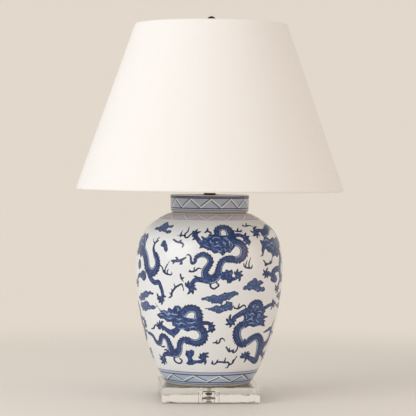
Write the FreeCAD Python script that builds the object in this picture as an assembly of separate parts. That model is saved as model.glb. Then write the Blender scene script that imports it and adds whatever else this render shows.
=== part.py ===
import FreeCAD, Part
import math
import os
from FreeCAD import Vector

# Ginger jar table lamp, in millimetres. The lamp stands on z = 0 with its axis on +Z.
# The front of the lamp, where the switch knob points, is -Y. The cord inlet is at +Y.

os.makedirs("parts", exist_ok=True)

# ---------------------------------------------------------------- driving dimensions

# Clear acrylic foot block
block_width = 165.0
block_thickness = 25.4
block_edge_ease = 0.8
pad_radius = 6.0
pad_height = 2.0
pad_inset = 13.0
recess_radius = 19.0
recess_depth = 12.0

# Threaded pipe that holds the stack together, and its nuts and washers
pipe_radius = 4.9
pipe_bore_radius = 3.5
pipe_past_base_nut = 3.5
pipe_past_saddle = 7.0
wire_entry_radius = 3.0
wire_entry_height = 42.0
base_washer_radius = 12.0
base_washer_thickness = 1.5
base_nut_flats = 14.3
base_nut_thickness = 4.8
top_washer_radius = 8.0
top_washer_thickness = 0.8
top_nut_flats = 14.3
top_nut_thickness = 3.2
pipe_clearance = 0.4

# Ceramic jar: heights are above its foot
jar_foot_radius = 73.0
jar_foot_bevel = 1.4
jar_foot_flare_deg = 36.0
jar_foot_flare_share = 0.26
jar_belly_fall_share = 0.28
jar_belly_rise_share = 0.85
jar_shoulder_round_reach = 0.45
jar_shoulder_round_rise = 0.75
jar_shoulder_flat_share = 0.30
jar_foot_ring_width = 12.0
jar_foot_recess_depth = 5.0
jar_belly_radius = 125.8
jar_belly_height = 194.0
jar_shoulder_height = 291.6
jar_wall = 7.0
jar_floor = 11.0
neck_radius = 60.0
neck_wall = 6.0
jar_pipe_hole_clearance = 1.0

# Ceramic lid, a cap that fits over the neck
lid_fit = 0.8
lid_wall = 6.7
lid_height = 26.7
lid_top_thickness = 7.0
lid_edge_radius = 2.2
lid_side_taper = 0.8
lid_bevel = 2.4
lid_gap = 0.8

# Cord inlet at the back of the jar
inlet_height = 24.0
bushing_bore_radius = 3.5
bushing_wall = 2.0
bushing_flange_radius = 8.5
bushing_flange_thickness = 2.5
bushing_tail = 4.0

# Turned cap on the lid
cap_radius = 17.0
cap_height = 8.0
cap_rim_height = 2.2
cap_top_radius = 9.0

# Harp, its saddle and its two lock sleeves
saddle_thickness = 1.6
saddle_width = 12.0
post_half_spacing = 34.0
post_wall = 1.5
post_height = 22.0
post_opening = 1.2
harp_wire_radius = 1.9
harp_wire_fit = 0.1
harp_height = 266.7
harp_half_width = 57.0
harp_leg_length = 46.0
harp_flare_height = 88.0
harp_draw_in_height = 186.0
harp_crown_run = 11.5
harp_crown_half_width = 26.0
harp_crown_drop = 11.0
harp_foot_bend = 60.0
harp_side_bend = 110.0
harp_crown_bend = 16.0
harp_eye_radius = 6.5
sleeve_fit = 0.15
sleeve_wall = 0.9
sleeve_length = 20.0

# Swivel stud on top of the harp
stud_shank_radius = 2.4
stud_flange_radius = 6.5
stud_flange_thickness = 2.6
stud_rivet_radius = 4.2
stud_rivet_height = 1.6
stud_thread_radius = 3.1
stud_thread_length = 13.0
turning_clearance = 0.05

# Lampholder
socket_radius = 16.5
socket_wall = 0.8
socket_cap_height = 17.0
socket_hub_radius = 8.0
socket_hub_height = 5.0
socket_cap_swell_share = 0.65
shell_height = 44.0
shell_tuck = 5.0
shell_bead_radius = 0.9
liner_wall = 0.8
socket_body_height = 22.0
socket_body_flat_depth = 3.0
socket_body_flat_height = 12.0
terminal_screw_radius = 2.8
terminal_screw_length = 2.2
screw_shell_wall = 0.6
screw_shell_height = 21.0
contact_width = 5.0
contact_thickness = 0.8
set_screw_radius = 1.6
set_screw_proud = 2.4

# Rotary switch
switch_height = 9.0
switch_shaft_radius = 1.9
switch_shaft_depth = 9.0
switch_stem_length = 5.0
switch_slot_clearance = 1.2
knob_radius = 5.6
knob_length = 13.0
knob_flutes = 12
knob_flute_radius = 0.9
knob_socket_depth = 8.0
knob_end_bevel = 1.2

# Bulb
bulb_base_radius = 13.1
bulb_base_wall = 0.5
bulb_base_height = 24.0
bulb_tip_radius = 4.5
bulb_tip_height = 2.0
bulb_fit = 0.1
bulb_radius = 30.0
bulb_length = 108.0
bulb_neck_radius = 13.4
bulb_glass_wall = 0.8
bulb_neck_run = 16.0
bulb_flare_run = 26.0
bulb_contact_gap = 0.05

# Shade and the spider that carries it
shade_top_radius = 131.0
shade_bottom_radius = 228.6
shade_height = 285.0
shade_thickness = 1.2
ring_wire_radius = 2.0
hem_slack = 0.2
hem_wrap_deg = 240.0
spider_washer_radius = 12.5
spider_washer_thickness = 1.6
spider_hole_clearance = 0.4
spider_wire_radius = 1.6
spider_weld_depth = 0.6
spider_drop = 11.0
spider_arm_start = 9.0
spider_dip_radius = 30.0
spider_dip_bend = 4.0
spider_arms = 3
spider_notch_clearance = 0.4

# Finial
finial_ball_radius = 8.0
finial_height = 27.9
finial_base_radius = 6.6
finial_base_height = 2.0
finial_waist_radius = 4.6
finial_collar_radius = 6.8
finial_collar_height = 1.8
finial_bore_margin = 1.0

# ---------------------------------------------------------------- levels up the lamp

block_bottom = pad_height
block_top = block_bottom + block_thickness
recess_ceiling = block_bottom + recess_depth
base_nut_top = recess_ceiling - base_washer_thickness
base_nut_bottom = base_nut_top - base_nut_thickness
pipe_bottom = base_nut_bottom - pipe_past_base_nut

jar_bottom = block_top
shoulder = jar_bottom + jar_shoulder_height
lid_bottom = shoulder + lid_gap
lid_top = lid_bottom + lid_height
lid_ceiling = lid_top - lid_top_thickness

cap_top = lid_top + cap_height
top_washer_top = cap_top + top_washer_thickness
saddle_bottom = top_washer_top + top_nut_thickness
saddle_top = saddle_bottom + saddle_thickness
pipe_top = saddle_top + pipe_past_saddle

seat = saddle_bottom + harp_height
harp_crown = seat - stud_flange_thickness - turning_clearance - harp_wire_radius
spider_washer_top = seat + spider_washer_thickness
ring_level = spider_washer_top + spider_drop
hem_inner_radius = ring_wire_radius + hem_slack
hem_outer_radius = hem_inner_radius + shade_thickness
shade_top = ring_level + hem_outer_radius
shade_bottom = shade_top - shade_height

socket_bottom = saddle_top
socket_cap_top = socket_bottom + socket_cap_height
shell_bottom = socket_cap_top - shell_tuck
shell_top = shell_bottom + shell_height
shell_radius = socket_radius - socket_wall
liner_radius = shell_radius - socket_wall
socket_body_radius = liner_radius - liner_wall
socket_body_top = shell_bottom + socket_body_height
switch_level = socket_cap_top + switch_height
screw_shell_bore = bulb_base_radius + bulb_fit
contact_top = socket_body_top + contact_thickness
bulb_bottom = contact_top + bulb_contact_gap

pipe_hole_radius = pipe_radius + pipe_clearance
lid_bore_radius = neck_radius + lid_fit
lid_radius = lid_bore_radius + lid_wall
post_bore_radius = harp_wire_radius + harp_wire_fit
post_radius = post_bore_radius + post_wall
bushing_radius = bushing_bore_radius + bushing_wall

Z_AXIS = Vector(0, 0, 1)


# ---------------------------------------------------------------- shape helpers

def point(radius, height):
    """A point of a half section, in the XZ plane."""
    return Vector(radius, 0, height)


def line(start, end):
    return Part.LineSegment(point(*start), point(*end)).toShape()


def curve(*poles):
    """A smooth curve drawn from its first pole to its last, pulled towards those between."""
    bezier = Part.BezierCurve()
    bezier.setPoles([point(*pole) for pole in poles])
    return bezier.toShape()


def arc(start, middle, end):
    return Part.Arc(point(*start), point(*middle), point(*end)).toShape()


def turned(*edges):
    """The solid turned about the lamp's axis from a closed half section of edges."""
    return Part.Face(Part.Wire(edges)).revolve(Vector(0, 0, 0), Z_AXIS, 360)


def turned_outline(*corners):
    """The solid turned about the lamp's axis from a closed half section of straight lines."""
    closed = [point(*corner) for corner in corners + corners[:1]]
    return Part.Face(Part.makePolygon(closed)).revolve(Vector(0, 0, 0), Z_AXIS, 360)


def tube(outer_radius, bore_radius, bottom, top):
    """A round tube about the lamp's axis."""
    return turned_outline(
        (bore_radius, bottom), (outer_radius, bottom), (outer_radius, top), (bore_radius, top))


def rod(radius, start, end):
    """A round rod between two points."""
    way = end - start
    return Part.makeCylinder(radius, way.Length, start, way)


def hex_nut(flats, bore_radius, bottom, thickness):
    corner_radius = flats / math.sqrt(3)
    corners = []
    for step in range(7):
        angle = math.radians(60 * step)
        corners.append(Vector(corner_radius * math.cos(angle), corner_radius * math.sin(angle), bottom))
    body = Part.Face(Part.makePolygon(corners)).extrude(Vector(0, 0, thickness))
    return body.cut(rod(bore_radius, Vector(0, 0, bottom - 1), Vector(0, 0, bottom + thickness + 1)))


def bent_path(corners, bends):
    """Straight runs through the corners, each inner corner rounded to its bend radius."""
    edges = []
    run_start = corners[0]
    for before, corner, after, bend in zip(corners, corners[1:], corners[2:], bends):
        inward = (before - corner).normalize()
        outward = (after - corner).normalize()
        half_opening = inward.getAngle(outward) / 2
        setback = bend / math.tan(half_opening)
        bisector = (inward + outward).normalize()
        arc_start = corner + inward * setback
        arc_end = corner + outward * setback
        centre = corner + bisector * (bend / math.sin(half_opening))
        edges.append(Part.LineSegment(run_start, arc_start).toShape())
        edges.append(Part.Arc(arc_start, centre - bisector * bend, arc_end).toShape())
        run_start = arc_end
    edges.append(Part.LineSegment(run_start, corners[-1]).toShape())
    return Part.Wire(edges)


def bent_wire(corners, bends, radius):
    """Round wire that follows a bent path."""
    path = bent_path(corners, bends)
    way = (corners[1] - corners[0]).normalize()
    section = Part.Wire(Part.makeCircle(radius, corners[0], way))
    return path.makePipeShell([section], True, False)


def save(shape, node):
    """Write one node. A node of several separate solids is written as a compound."""
    solids = shape.Solids
    if not solids or not all(solid.isValid() for solid in solids):
        raise ValueError(node + " is not made of sound solids")
    whole = solids[0] if len(solids) == 1 else Part.makeCompound(solids)
    whole.exportStep("parts/" + node + ".step")


# ---------------------------------------------------------------- foot block

def make_base_block():
    block = Part.makeBox(
        block_width, block_width, block_thickness,
        Vector(-block_width / 2, -block_width / 2, block_bottom))
    block = block.makeChamfer(block_edge_ease, block.Edges)
    recess = rod(recess_radius, Vector(0, 0, block_bottom - 1), Vector(0, 0, recess_ceiling))
    pipe_hole = rod(pipe_hole_radius, Vector(0, 0, block_bottom), Vector(0, 0, block_top + 1))
    return block.cut(recess).cut(pipe_hole)


def make_base_pads():
    reach = block_width / 2 - pad_inset
    pads = []
    for x in (-reach, reach):
        for y in (-reach, reach):
            pads.append(rod(pad_radius, Vector(x, y, 0), Vector(x, y, pad_height)))
    return Part.makeCompound(pads)


def make_base_washer():
    return tube(base_washer_radius, pipe_radius, base_nut_top, recess_ceiling)


def make_base_nut():
    return hex_nut(base_nut_flats, pipe_radius, base_nut_bottom, base_nut_thickness)


def make_lamp_pipe():
    pipe = tube(pipe_radius, pipe_bore_radius, pipe_bottom, pipe_top)
    entry_level = jar_bottom + wire_entry_height
    entry = rod(wire_entry_radius, Vector(0, 0, entry_level), Vector(0, 2 * pipe_radius, entry_level))
    return pipe.cut(entry)


# ---------------------------------------------------------------- jar and lid

def lower_side(foot_radius, foot_height, belly_radius):
    """The jar's side from its foot to its widest part: poles as (radius, height)."""
    rise = jar_belly_height - foot_height
    flare_rise = jar_foot_flare_share * rise
    flare_reach = flare_rise * math.tan(math.radians(jar_foot_flare_deg))
    return [
        (foot_radius, jar_bottom + foot_height),
        (foot_radius + flare_reach, jar_bottom + foot_height + flare_rise),
        (belly_radius, jar_bottom + jar_belly_height - jar_belly_fall_share * rise),
        (belly_radius, jar_bottom + jar_belly_height)]


def upper_side(belly_radius, collar_radius, shoulder_height):
    """The jar's side from its widest part over the shoulder to the neck: poles as (radius, height)."""
    rise = shoulder_height - jar_belly_height
    reach = belly_radius - collar_radius
    belly_level = jar_bottom + jar_belly_height
    return [
        (belly_radius, belly_level),
        (belly_radius, belly_level + jar_belly_rise_share * rise),
        (belly_radius - jar_shoulder_round_reach * reach,
         belly_level + jar_shoulder_round_rise * rise),
        (collar_radius + jar_shoulder_flat_share * reach, belly_level + rise),
        (collar_radius, belly_level + rise)]


def pole_curve_point(poles, share):
    """The point of a pole curve at a share of its way."""
    radius = 0.0
    height = 0.0
    last = len(poles) - 1
    for index, pole in enumerate(poles):
        weight = math.comb(last, index) * share ** index * (1 - share) ** (last - index)
        radius += weight * pole[0]
        height += weight * pole[1]
    return radius, height


def jar_outer_poles():
    return lower_side(jar_foot_radius, jar_foot_bevel, jar_belly_radius)


def jar_radius_at(level):
    """The jar's outer radius at a level between its foot and its belly."""
    low, high = 0.0, 1.0
    for _ in range(40):
        share = (low + high) / 2
        if pole_curve_point(jar_outer_poles(), share)[1] < level:
            low = share
        else:
            high = share
    return pole_curve_point(jar_outer_poles(), low)[0]


def make_jar_blank():
    """The jar with its foot and neck, before its side hole is drilled."""
    hole_radius = pipe_hole_radius + jar_pipe_hole_clearance
    foot_inner = jar_foot_radius - jar_foot_ring_width
    neck_inner = neck_radius - neck_wall
    inner_foot = jar_foot_radius - jar_wall + jar_floor * math.tan(math.radians(jar_foot_flare_deg))
    floor_level = jar_bottom + jar_floor
    recess_level = jar_bottom + jar_foot_recess_depth
    outer_lower = jar_outer_poles()
    outer_upper = upper_side(jar_belly_radius, neck_radius, jar_shoulder_height)
    inner_lower = lower_side(inner_foot, jar_floor, jar_belly_radius - jar_wall)
    inner_upper = upper_side(jar_belly_radius - jar_wall, neck_inner, jar_shoulder_height - jar_wall)
    return turned(
        line((hole_radius, recess_level), (foot_inner - jar_foot_recess_depth / 2, recess_level)),
        line((foot_inner - jar_foot_recess_depth / 2, recess_level), (foot_inner, jar_bottom)),
        line((foot_inner, jar_bottom), (jar_foot_radius - jar_foot_bevel, jar_bottom)),
        line((jar_foot_radius - jar_foot_bevel, jar_bottom), outer_lower[0]),
        curve(*outer_lower),
        curve(*outer_upper),
        line(outer_upper[-1], (neck_radius, lid_ceiling)),
        line((neck_radius, lid_ceiling), (neck_inner, lid_ceiling)),
        line((neck_inner, lid_ceiling), inner_upper[-1]),
        curve(*reversed(inner_upper)),
        curve(*reversed(inner_lower)),
        line(inner_lower[0], (hole_radius, floor_level)),
        line((hole_radius, floor_level), (hole_radius, recess_level)))


def inlet_line():
    """Ends of the cord inlet's axis: inside the jar, at the jar's outer side, and at the flange's face."""
    level = jar_bottom + inlet_height
    outside = jar_radius_at(level)
    inner_end = Vector(0, outside - jar_wall - bushing_wall - bushing_tail, level)
    surface = Vector(0, outside, level)
    return inner_end, surface, surface + Vector(0, bushing_flange_thickness, 0)


def make_jar_body(blank):
    inner_end, surface, face = inlet_line()
    return blank.cut(rod(bushing_radius, inner_end, face + (face - surface)))


def make_cord_bushing(blank):
    """A grommet whose flange follows the jar's side."""
    inner_end, surface, face = inlet_line()
    flange_start = surface - Vector(0, jar_wall, 0)
    flange = rod(bushing_flange_radius, flange_start, face).cut(blank)
    outer_flange = max(flange.Solids, key=lambda solid: solid.CenterOfMass.y)
    body = rod(bushing_radius, inner_end, face).fuse(outer_flange).removeSplitter()
    return body.cut(rod(bushing_bore_radius, inner_end - Vector(0, 1, 0), face + Vector(0, 1, 0)))


def make_jar_lid():
    """A flat cap with a rounded top edge and a bevelled lower rim."""
    edge = lid_edge_radius
    round_part = edge * math.sin(math.radians(45))
    foot_radius = lid_radius - lid_side_taper
    return turned(
        line((pipe_hole_radius, lid_ceiling), (pipe_hole_radius, lid_top)),
        line((pipe_hole_radius, lid_top), (lid_radius - edge, lid_top)),
        arc((lid_radius - edge, lid_top),
            (lid_radius - edge + round_part, lid_top - edge + round_part),
            (lid_radius, lid_top - edge)),
        line((lid_radius, lid_top - edge), (foot_radius, lid_bottom + lid_bevel)),
        line((foot_radius, lid_bottom + lid_bevel), (foot_radius - lid_bevel, lid_bottom)),
        line((foot_radius - lid_bevel, lid_bottom), (lid_bore_radius, lid_bottom)),
        line((lid_bore_radius, lid_bottom), (lid_bore_radius, lid_ceiling)),
        line((lid_bore_radius, lid_ceiling), (pipe_hole_radius, lid_ceiling)))


# ---------------------------------------------------------------- cap, nut and harp

def make_vase_cap():
    rim_top = lid_top + cap_rim_height
    return turned(
        line((pipe_hole_radius, lid_top), (cap_radius, lid_top)),
        line((cap_radius, lid_top), (cap_radius, rim_top)),
        curve((cap_radius, rim_top), (cap_top_radius, rim_top), (cap_top_radius, cap_top)),
        line((cap_top_radius, cap_top), (pipe_hole_radius, cap_top)),
        line((pipe_hole_radius, cap_top), (pipe_hole_radius, lid_top)))


def make_top_washer():
    return tube(top_washer_radius, pipe_radius, cap_top, top_washer_top)


def make_top_nut():
    return hex_nut(top_nut_flats, pipe_radius, top_washer_top, top_nut_thickness)


def make_harp_saddle():
    """A flat strip with a round hole, and an open round post at each end."""
    strip = Part.makeBox(
        2 * post_half_spacing, saddle_width, saddle_thickness,
        Vector(-post_half_spacing, -saddle_width / 2, saddle_bottom))
    for side in (-1, 1):
        foot = Vector(side * post_half_spacing, 0, saddle_bottom)
        strip = strip.fuse(rod(saddle_width / 2, foot, foot + Vector(0, 0, saddle_thickness)))
    for side in (-1, 1):
        post_foot = Vector(side * post_half_spacing, 0, saddle_top)
        post_head = post_foot + Vector(0, 0, post_height)
        post = rod(post_radius, post_foot, post_head).cut(rod(post_bore_radius, post_foot, post_head))
        slot = Part.makeBox(
            2 * post_radius, 2 * post_opening, post_height + 2,
            Vector(side * post_half_spacing, -post_opening, saddle_top))
        if side < 0:
            slot.translate(Vector(-2 * post_radius, 0, 0))
        strip = strip.fuse(post.cut(slot))
    hole = rod(pipe_hole_radius, Vector(0, 0, saddle_bottom - 1), Vector(0, 0, saddle_top + 1))
    return strip.removeSplitter().cut(hole)


def harp_corners():
    """Corners of the harp's outline, from its left foot over its crown to its right foot."""
    right = [
        Vector(harp_crown_half_width, 0, harp_crown - harp_crown_drop),
        Vector(harp_half_width, 0, saddle_top + harp_draw_in_height),
        Vector(harp_half_width, 0, saddle_top + harp_flare_height),
        Vector(post_half_spacing, 0, saddle_top + harp_leg_length),
        Vector(post_half_spacing, 0, saddle_top)]
    crown = [Vector(harp_crown_run, 0, harp_crown)]
    half = crown + right
    other = [Vector(-corner.x, 0, corner.z) for corner in reversed(half)]
    return other + half


def make_harp():
    """A wire loop whose crown is flattened into an eye for the swivel stud."""
    bends = [harp_foot_bend, harp_foot_bend, harp_side_bend, harp_crown_bend, harp_crown_bend]
    wire = bent_wire(harp_corners(), bends + bends[::-1], harp_wire_radius)
    eye = rod(
        harp_eye_radius,
        Vector(0, 0, harp_crown - harp_wire_radius), Vector(0, 0, harp_crown + harp_wire_radius))
    shank_hole = rod(
        stud_shank_radius + turning_clearance,
        Vector(0, 0, harp_crown - 2 * harp_wire_radius), Vector(0, 0, harp_crown + 2 * harp_wire_radius))
    return wire.fuse(eye).removeSplitter().cut(shank_hole)


def make_sleeve(side):
    bore = post_radius + sleeve_fit
    foot = Vector(side * post_half_spacing, 0, saddle_top)
    head = foot + Vector(0, 0, sleeve_length)
    return rod(bore + sleeve_wall, foot, head).cut(rod(bore, foot, head))


def make_harp_stud():
    """Rivet head, shank, seat flange and threaded end, turned as one piece."""
    rivet_top = harp_crown - harp_wire_radius - turning_clearance
    flange_bottom = seat - stud_flange_thickness
    thread_top = spider_washer_top + stud_thread_length
    return turned_outline(
        (0, rivet_top - stud_rivet_height),
        (stud_rivet_radius - stud_rivet_height / 2, rivet_top - stud_rivet_height),
        (stud_rivet_radius, rivet_top - stud_rivet_height / 2),
        (stud_rivet_radius, rivet_top),
        (stud_shank_radius, rivet_top),
        (stud_shank_radius, flange_bottom),
        (stud_flange_radius, flange_bottom),
        (stud_flange_radius, seat),
        (stud_thread_radius, seat),
        (stud_thread_radius, thread_top),
        (0, thread_top))


# ---------------------------------------------------------------- lampholder and switch

def make_socket_cap():
    wall = socket_wall
    hub_top = socket_bottom + socket_hub_height
    swell_top = socket_bottom + socket_cap_swell_share * socket_cap_height
    return turned(
        line((pipe_radius, socket_bottom), (socket_hub_radius, socket_bottom)),
        line((socket_hub_radius, socket_bottom), (socket_hub_radius, hub_top)),
        curve((socket_hub_radius, hub_top), (socket_radius, hub_top), (socket_radius, swell_top)),
        line((socket_radius, swell_top), (socket_radius, socket_cap_top)),
        line((socket_radius, socket_cap_top), (shell_radius, socket_cap_top)),
        line((shell_radius, socket_cap_top), (shell_radius, swell_top)),
        curve((shell_radius, swell_top), (shell_radius, hub_top + wall),
              (pipe_radius, hub_top + wall)),
        line((pipe_radius, hub_top + wall), (pipe_radius, socket_bottom))).cut(set_screw_rod())


def set_screw_rod():
    level = socket_bottom + socket_hub_height / 2
    return rod(set_screw_radius, Vector(0, pipe_radius, level),
               Vector(0, socket_hub_radius + set_screw_proud, level))


def make_set_screw():
    """A grub screw with a driver slot across its outer end."""
    screw = set_screw_rod()
    end = screw.BoundBox
    slot = Part.makeBox(
        set_screw_radius / 2, 2, end.ZLength,
        Vector(-set_screw_radius / 4, end.YMax - set_screw_radius / 2, end.ZMin))
    return screw.cut(slot)


def switch_slot(outer_radius):
    """The slot that lets the switch shaft out through the shell: round, open downwards."""
    radius = switch_shaft_radius + switch_slot_clearance
    centre = Vector(0, 0, switch_level)
    front = Vector(0, -2 * outer_radius, switch_level)
    opening = rod(radius, centre, front)
    below = Part.makeBox(
        2 * radius, 2 * outer_radius, switch_level - shell_bottom + 1,
        Vector(-radius, -2 * outer_radius, shell_bottom - 1))
    return opening.fuse(below)


def make_socket_shell():
    shell = tube(shell_radius, liner_radius, shell_bottom, shell_top)
    bead = Part.makeTorus(
        shell_radius - shell_bead_radius / 2, shell_bead_radius, Vector(0, 0, shell_top), Z_AXIS)
    bead = bead.cut(rod(liner_radius, Vector(0, 0, shell_top - 2), Vector(0, 0, shell_top + 2)))
    return shell.fuse(bead).removeSplitter().cut(switch_slot(shell_radius))


def make_socket_liner():
    liner = tube(liner_radius, socket_body_radius, shell_bottom, shell_top - 2 * shell_bead_radius)
    return liner.cut(switch_slot(shell_radius))


def make_socket_body():
    """The moulded block that holds the contacts, with a flat on each side for its terminals."""
    body = rod(socket_body_radius, Vector(0, 0, shell_bottom), Vector(0, 0, socket_body_top))
    reach = socket_body_radius - socket_body_flat_depth
    for side in (-1, 1):
        corner = Vector(reach if side > 0 else -reach - socket_radius, -socket_radius, shell_bottom)
        body = body.cut(Part.makeBox(socket_radius, 2 * socket_radius, socket_body_flat_height, corner))
    shaft_hole = rod(
        switch_shaft_radius + turning_clearance,
        Vector(0, -(socket_body_radius - switch_shaft_depth), switch_level),
        Vector(0, -socket_radius, switch_level))
    return body.cut(shaft_hole)


def make_terminal_screws():
    reach = socket_body_radius - socket_body_flat_depth
    level = shell_bottom + socket_body_flat_height / 2
    screws = []
    for side in (-1, 1):
        start = Vector(side * reach, 0, level)
        screws.append(rod(terminal_screw_radius, start, start + Vector(side * terminal_screw_length, 0, 0)))
    return Part.makeCompound(screws)


def make_screw_shell():
    return tube(
        screw_shell_bore + screw_shell_wall, screw_shell_bore,
        socket_body_top, socket_body_top + screw_shell_height)


def make_socket_contact():
    return Part.makeBox(
        contact_width, contact_width, contact_thickness,
        Vector(-contact_width / 2, -contact_width / 2, socket_body_top))


def make_switch_shaft():
    inner = Vector(0, -(socket_body_radius - switch_shaft_depth) - turning_clearance, switch_level)
    outer = Vector(0, -(socket_radius + switch_stem_length + knob_socket_depth), switch_level)
    return rod(switch_shaft_radius, inner, outer)


def make_switch_knob():
    """A fluted knob with a bevelled end."""
    near = socket_radius + switch_stem_length
    far = near + knob_length
    profile = [
        Vector(0, -near, 0),
        Vector(knob_radius, -near, 0),
        Vector(knob_radius, -far + knob_end_bevel, 0),
        Vector(knob_radius - knob_end_bevel, -far, 0),
        Vector(0, -far, 0),
        Vector(0, -near, 0)]
    knob = Part.Face(Part.makePolygon(profile)).revolve(Vector(0, 0, 0), Vector(0, -1, 0), 360)
    knob.translate(Vector(0, 0, switch_level))
    for step in range(knob_flutes):
        angle = math.radians(360 / knob_flutes * step)
        x = knob_radius * math.cos(angle)
        z = switch_level + knob_radius * math.sin(angle)
        knob = knob.cut(rod(knob_flute_radius, Vector(x, -near + 1, z), Vector(x, -far - 1, z)))
    return knob.cut(make_switch_shaft())


# ---------------------------------------------------------------- bulb

def make_bulb_base():
    """The threaded metal cup with its insulated centre contact."""
    cup_bottom = bulb_bottom + bulb_tip_height
    return turned_outline(
        (0, bulb_bottom),
        (bulb_tip_radius, bulb_bottom),
        (bulb_tip_radius, bulb_bottom + bulb_tip_height / 2),
        (bulb_base_radius, cup_bottom + bulb_tip_height),
        (bulb_base_radius, bulb_bottom + bulb_base_height),
        (bulb_base_radius - bulb_base_wall, bulb_bottom + bulb_base_height),
        (bulb_base_radius - bulb_base_wall, cup_bottom + bulb_tip_height),
        (0, cup_bottom + bulb_tip_height))


def globe_outline(inset):
    """Half section of the glass from its neck to its crown: a flare, then a round dome."""
    neck = bulb_neck_radius - inset
    widest = bulb_radius - inset
    neck_level = bulb_bottom + bulb_base_height
    centre_level = bulb_bottom + bulb_length - bulb_radius
    round_part = widest * math.sin(math.radians(45))
    flare = curve(
        (neck, neck_level), (neck, neck_level + bulb_neck_run),
        (widest, centre_level - bulb_flare_run), (widest, centre_level))
    dome = arc(
        (widest, centre_level), (round_part, centre_level + round_part), (0, centre_level + widest))
    return flare, dome


def make_bulb_globe():
    neck_level = bulb_bottom + bulb_base_height
    outer_flare, outer_dome = globe_outline(0)
    inner_flare, inner_dome = globe_outline(bulb_glass_wall)
    crown = bulb_bottom + bulb_length
    outer = turned(
        line((0, neck_level), (bulb_neck_radius, neck_level)), outer_flare, outer_dome,
        line((0, crown), (0, neck_level)))
    inner = turned(
        line((0, neck_level), (bulb_neck_radius - bulb_glass_wall, neck_level)), inner_flare, inner_dome,
        line((0, crown - bulb_glass_wall), (0, neck_level)))
    return outer.cut(inner)


# ---------------------------------------------------------------- shade, spider and finial

def ring_centre(top):
    """Radius and level of the centre of a shade ring's wire."""
    if top:
        return shade_top_radius - hem_outer_radius, shade_top - hem_outer_radius
    return shade_bottom_radius - hem_outer_radius, shade_bottom + hem_outer_radius


def make_ring(top):
    radius, level = ring_centre(top)
    return Part.makeTorus(radius, ring_wire_radius, Vector(0, 0, level), Z_AXIS)


def make_shade_fabric(arm_notches):
    """A stiff tapered wall, hemmed round the wire ring at its top and at its bottom."""
    low = ring_centre(False)
    high = ring_centre(True)
    lean = math.atan2(low[0] - high[0], high[1] - low[1])
    wrap = math.radians(hem_wrap_deg)

    def on_hem(centre, radius, angle):
        return centre[0] + radius * math.cos(angle), centre[1] + radius * math.sin(angle)

    def hem_arc(centre, radius, start, sweep):
        return arc(
            on_hem(centre, radius, start),
            on_hem(centre, radius, start + sweep / 2),
            on_hem(centre, radius, start + sweep))

    outer, inner = hem_outer_radius, hem_inner_radius
    wall = turned(
        line(on_hem(low, outer, lean), on_hem(high, outer, lean)),
        hem_arc(high, outer, lean, wrap),
        line(on_hem(high, outer, lean + wrap), on_hem(high, inner, lean + wrap)),
        hem_arc(high, inner, lean + wrap, -wrap),
        line(on_hem(high, inner, lean), on_hem(low, inner, lean)),
        hem_arc(low, inner, lean, -wrap),
        line(on_hem(low, inner, lean - wrap), on_hem(low, outer, lean - wrap)),
        hem_arc(low, outer, lean - wrap, wrap))
    return wall.cut(arm_notches)


def spider_angles():
    return [math.radians(90 + 360 / spider_arms * step) for step in range(spider_arms)]


def make_arm_notches():
    """Where the hem is trimmed round each spider arm."""
    ring_radius, level = ring_centre(True)
    notches = []
    for angle in spider_angles():
        way = Vector(math.cos(angle), math.sin(angle), 0)
        start = way * (ring_radius - 2 * hem_outer_radius) + Vector(0, 0, level)
        end = way * ring_radius + Vector(0, 0, level)
        notches.append(rod(spider_wire_radius + spider_notch_clearance, start, end))
    return Part.makeCompound(notches)


def make_shade_spider(top_ring):
    """A centre washer carried by bent wire arms, welded to the top ring."""
    ring_radius, level = ring_centre(True)
    arm_level = spider_washer_top + spider_wire_radius - spider_weld_depth
    washer = tube(spider_washer_radius, stud_thread_radius + spider_hole_clearance, seat, spider_washer_top)
    dip_start = spider_washer_radius + spider_dip_bend
    for angle in spider_angles():
        way = Vector(math.cos(angle), math.sin(angle), 0)
        corners = [
            way * spider_arm_start + Vector(0, 0, arm_level),
            way * dip_start + Vector(0, 0, arm_level),
            way * spider_dip_radius + Vector(0, 0, level),
            way * ring_radius + Vector(0, 0, level)]
        arm = bent_wire(corners, [spider_dip_bend, spider_dip_bend], spider_wire_radius)
        washer = washer.fuse(arm)
    return washer.removeSplitter().cut(top_ring)


def make_finial():
    """A ball on a waisted stem, bored from below for the stud."""
    base = spider_washer_top
    base_top = base + finial_base_height
    ball_level = base + finial_height - finial_ball_radius
    seat_angle = math.asin(finial_waist_radius / finial_ball_radius)
    ball_foot = ball_level - finial_ball_radius * math.cos(seat_angle)
    collar_top = ball_foot
    collar_bottom = collar_top - finial_collar_height

    def on_ball(degrees_from_top):
        angle = math.radians(degrees_from_top)
        return finial_ball_radius * math.sin(angle), ball_level + finial_ball_radius * math.cos(angle)

    body = turned(
        line((0, base), (finial_base_radius, base)),
        line((finial_base_radius, base), (finial_base_radius, base_top)),
        curve((finial_base_radius, base_top), (finial_waist_radius, base_top),
              (finial_waist_radius, (base_top + collar_bottom) / 2)),
        line((finial_waist_radius, (base_top + collar_bottom) / 2), (finial_waist_radius, collar_bottom)),
        line((finial_waist_radius, collar_bottom), (finial_collar_radius, collar_bottom)),
        line((finial_collar_radius, collar_bottom), (finial_collar_radius, collar_top)),
        line((finial_collar_radius, collar_top), (finial_waist_radius, collar_top)),
        arc((finial_waist_radius, collar_top), (finial_ball_radius, ball_level), on_ball(45)),
        arc(on_ball(45), on_ball(20), on_ball(0)),
        line((0, ball_level + finial_ball_radius), (0, base)))
    bore_top = base + stud_thread_length + finial_bore_margin
    bore = rod(stud_thread_radius + turning_clearance, Vector(0, 0, base - 1), Vector(0, 0, bore_top))
    return body.cut(bore)


# ---------------------------------------------------------------- all the pieces

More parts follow.
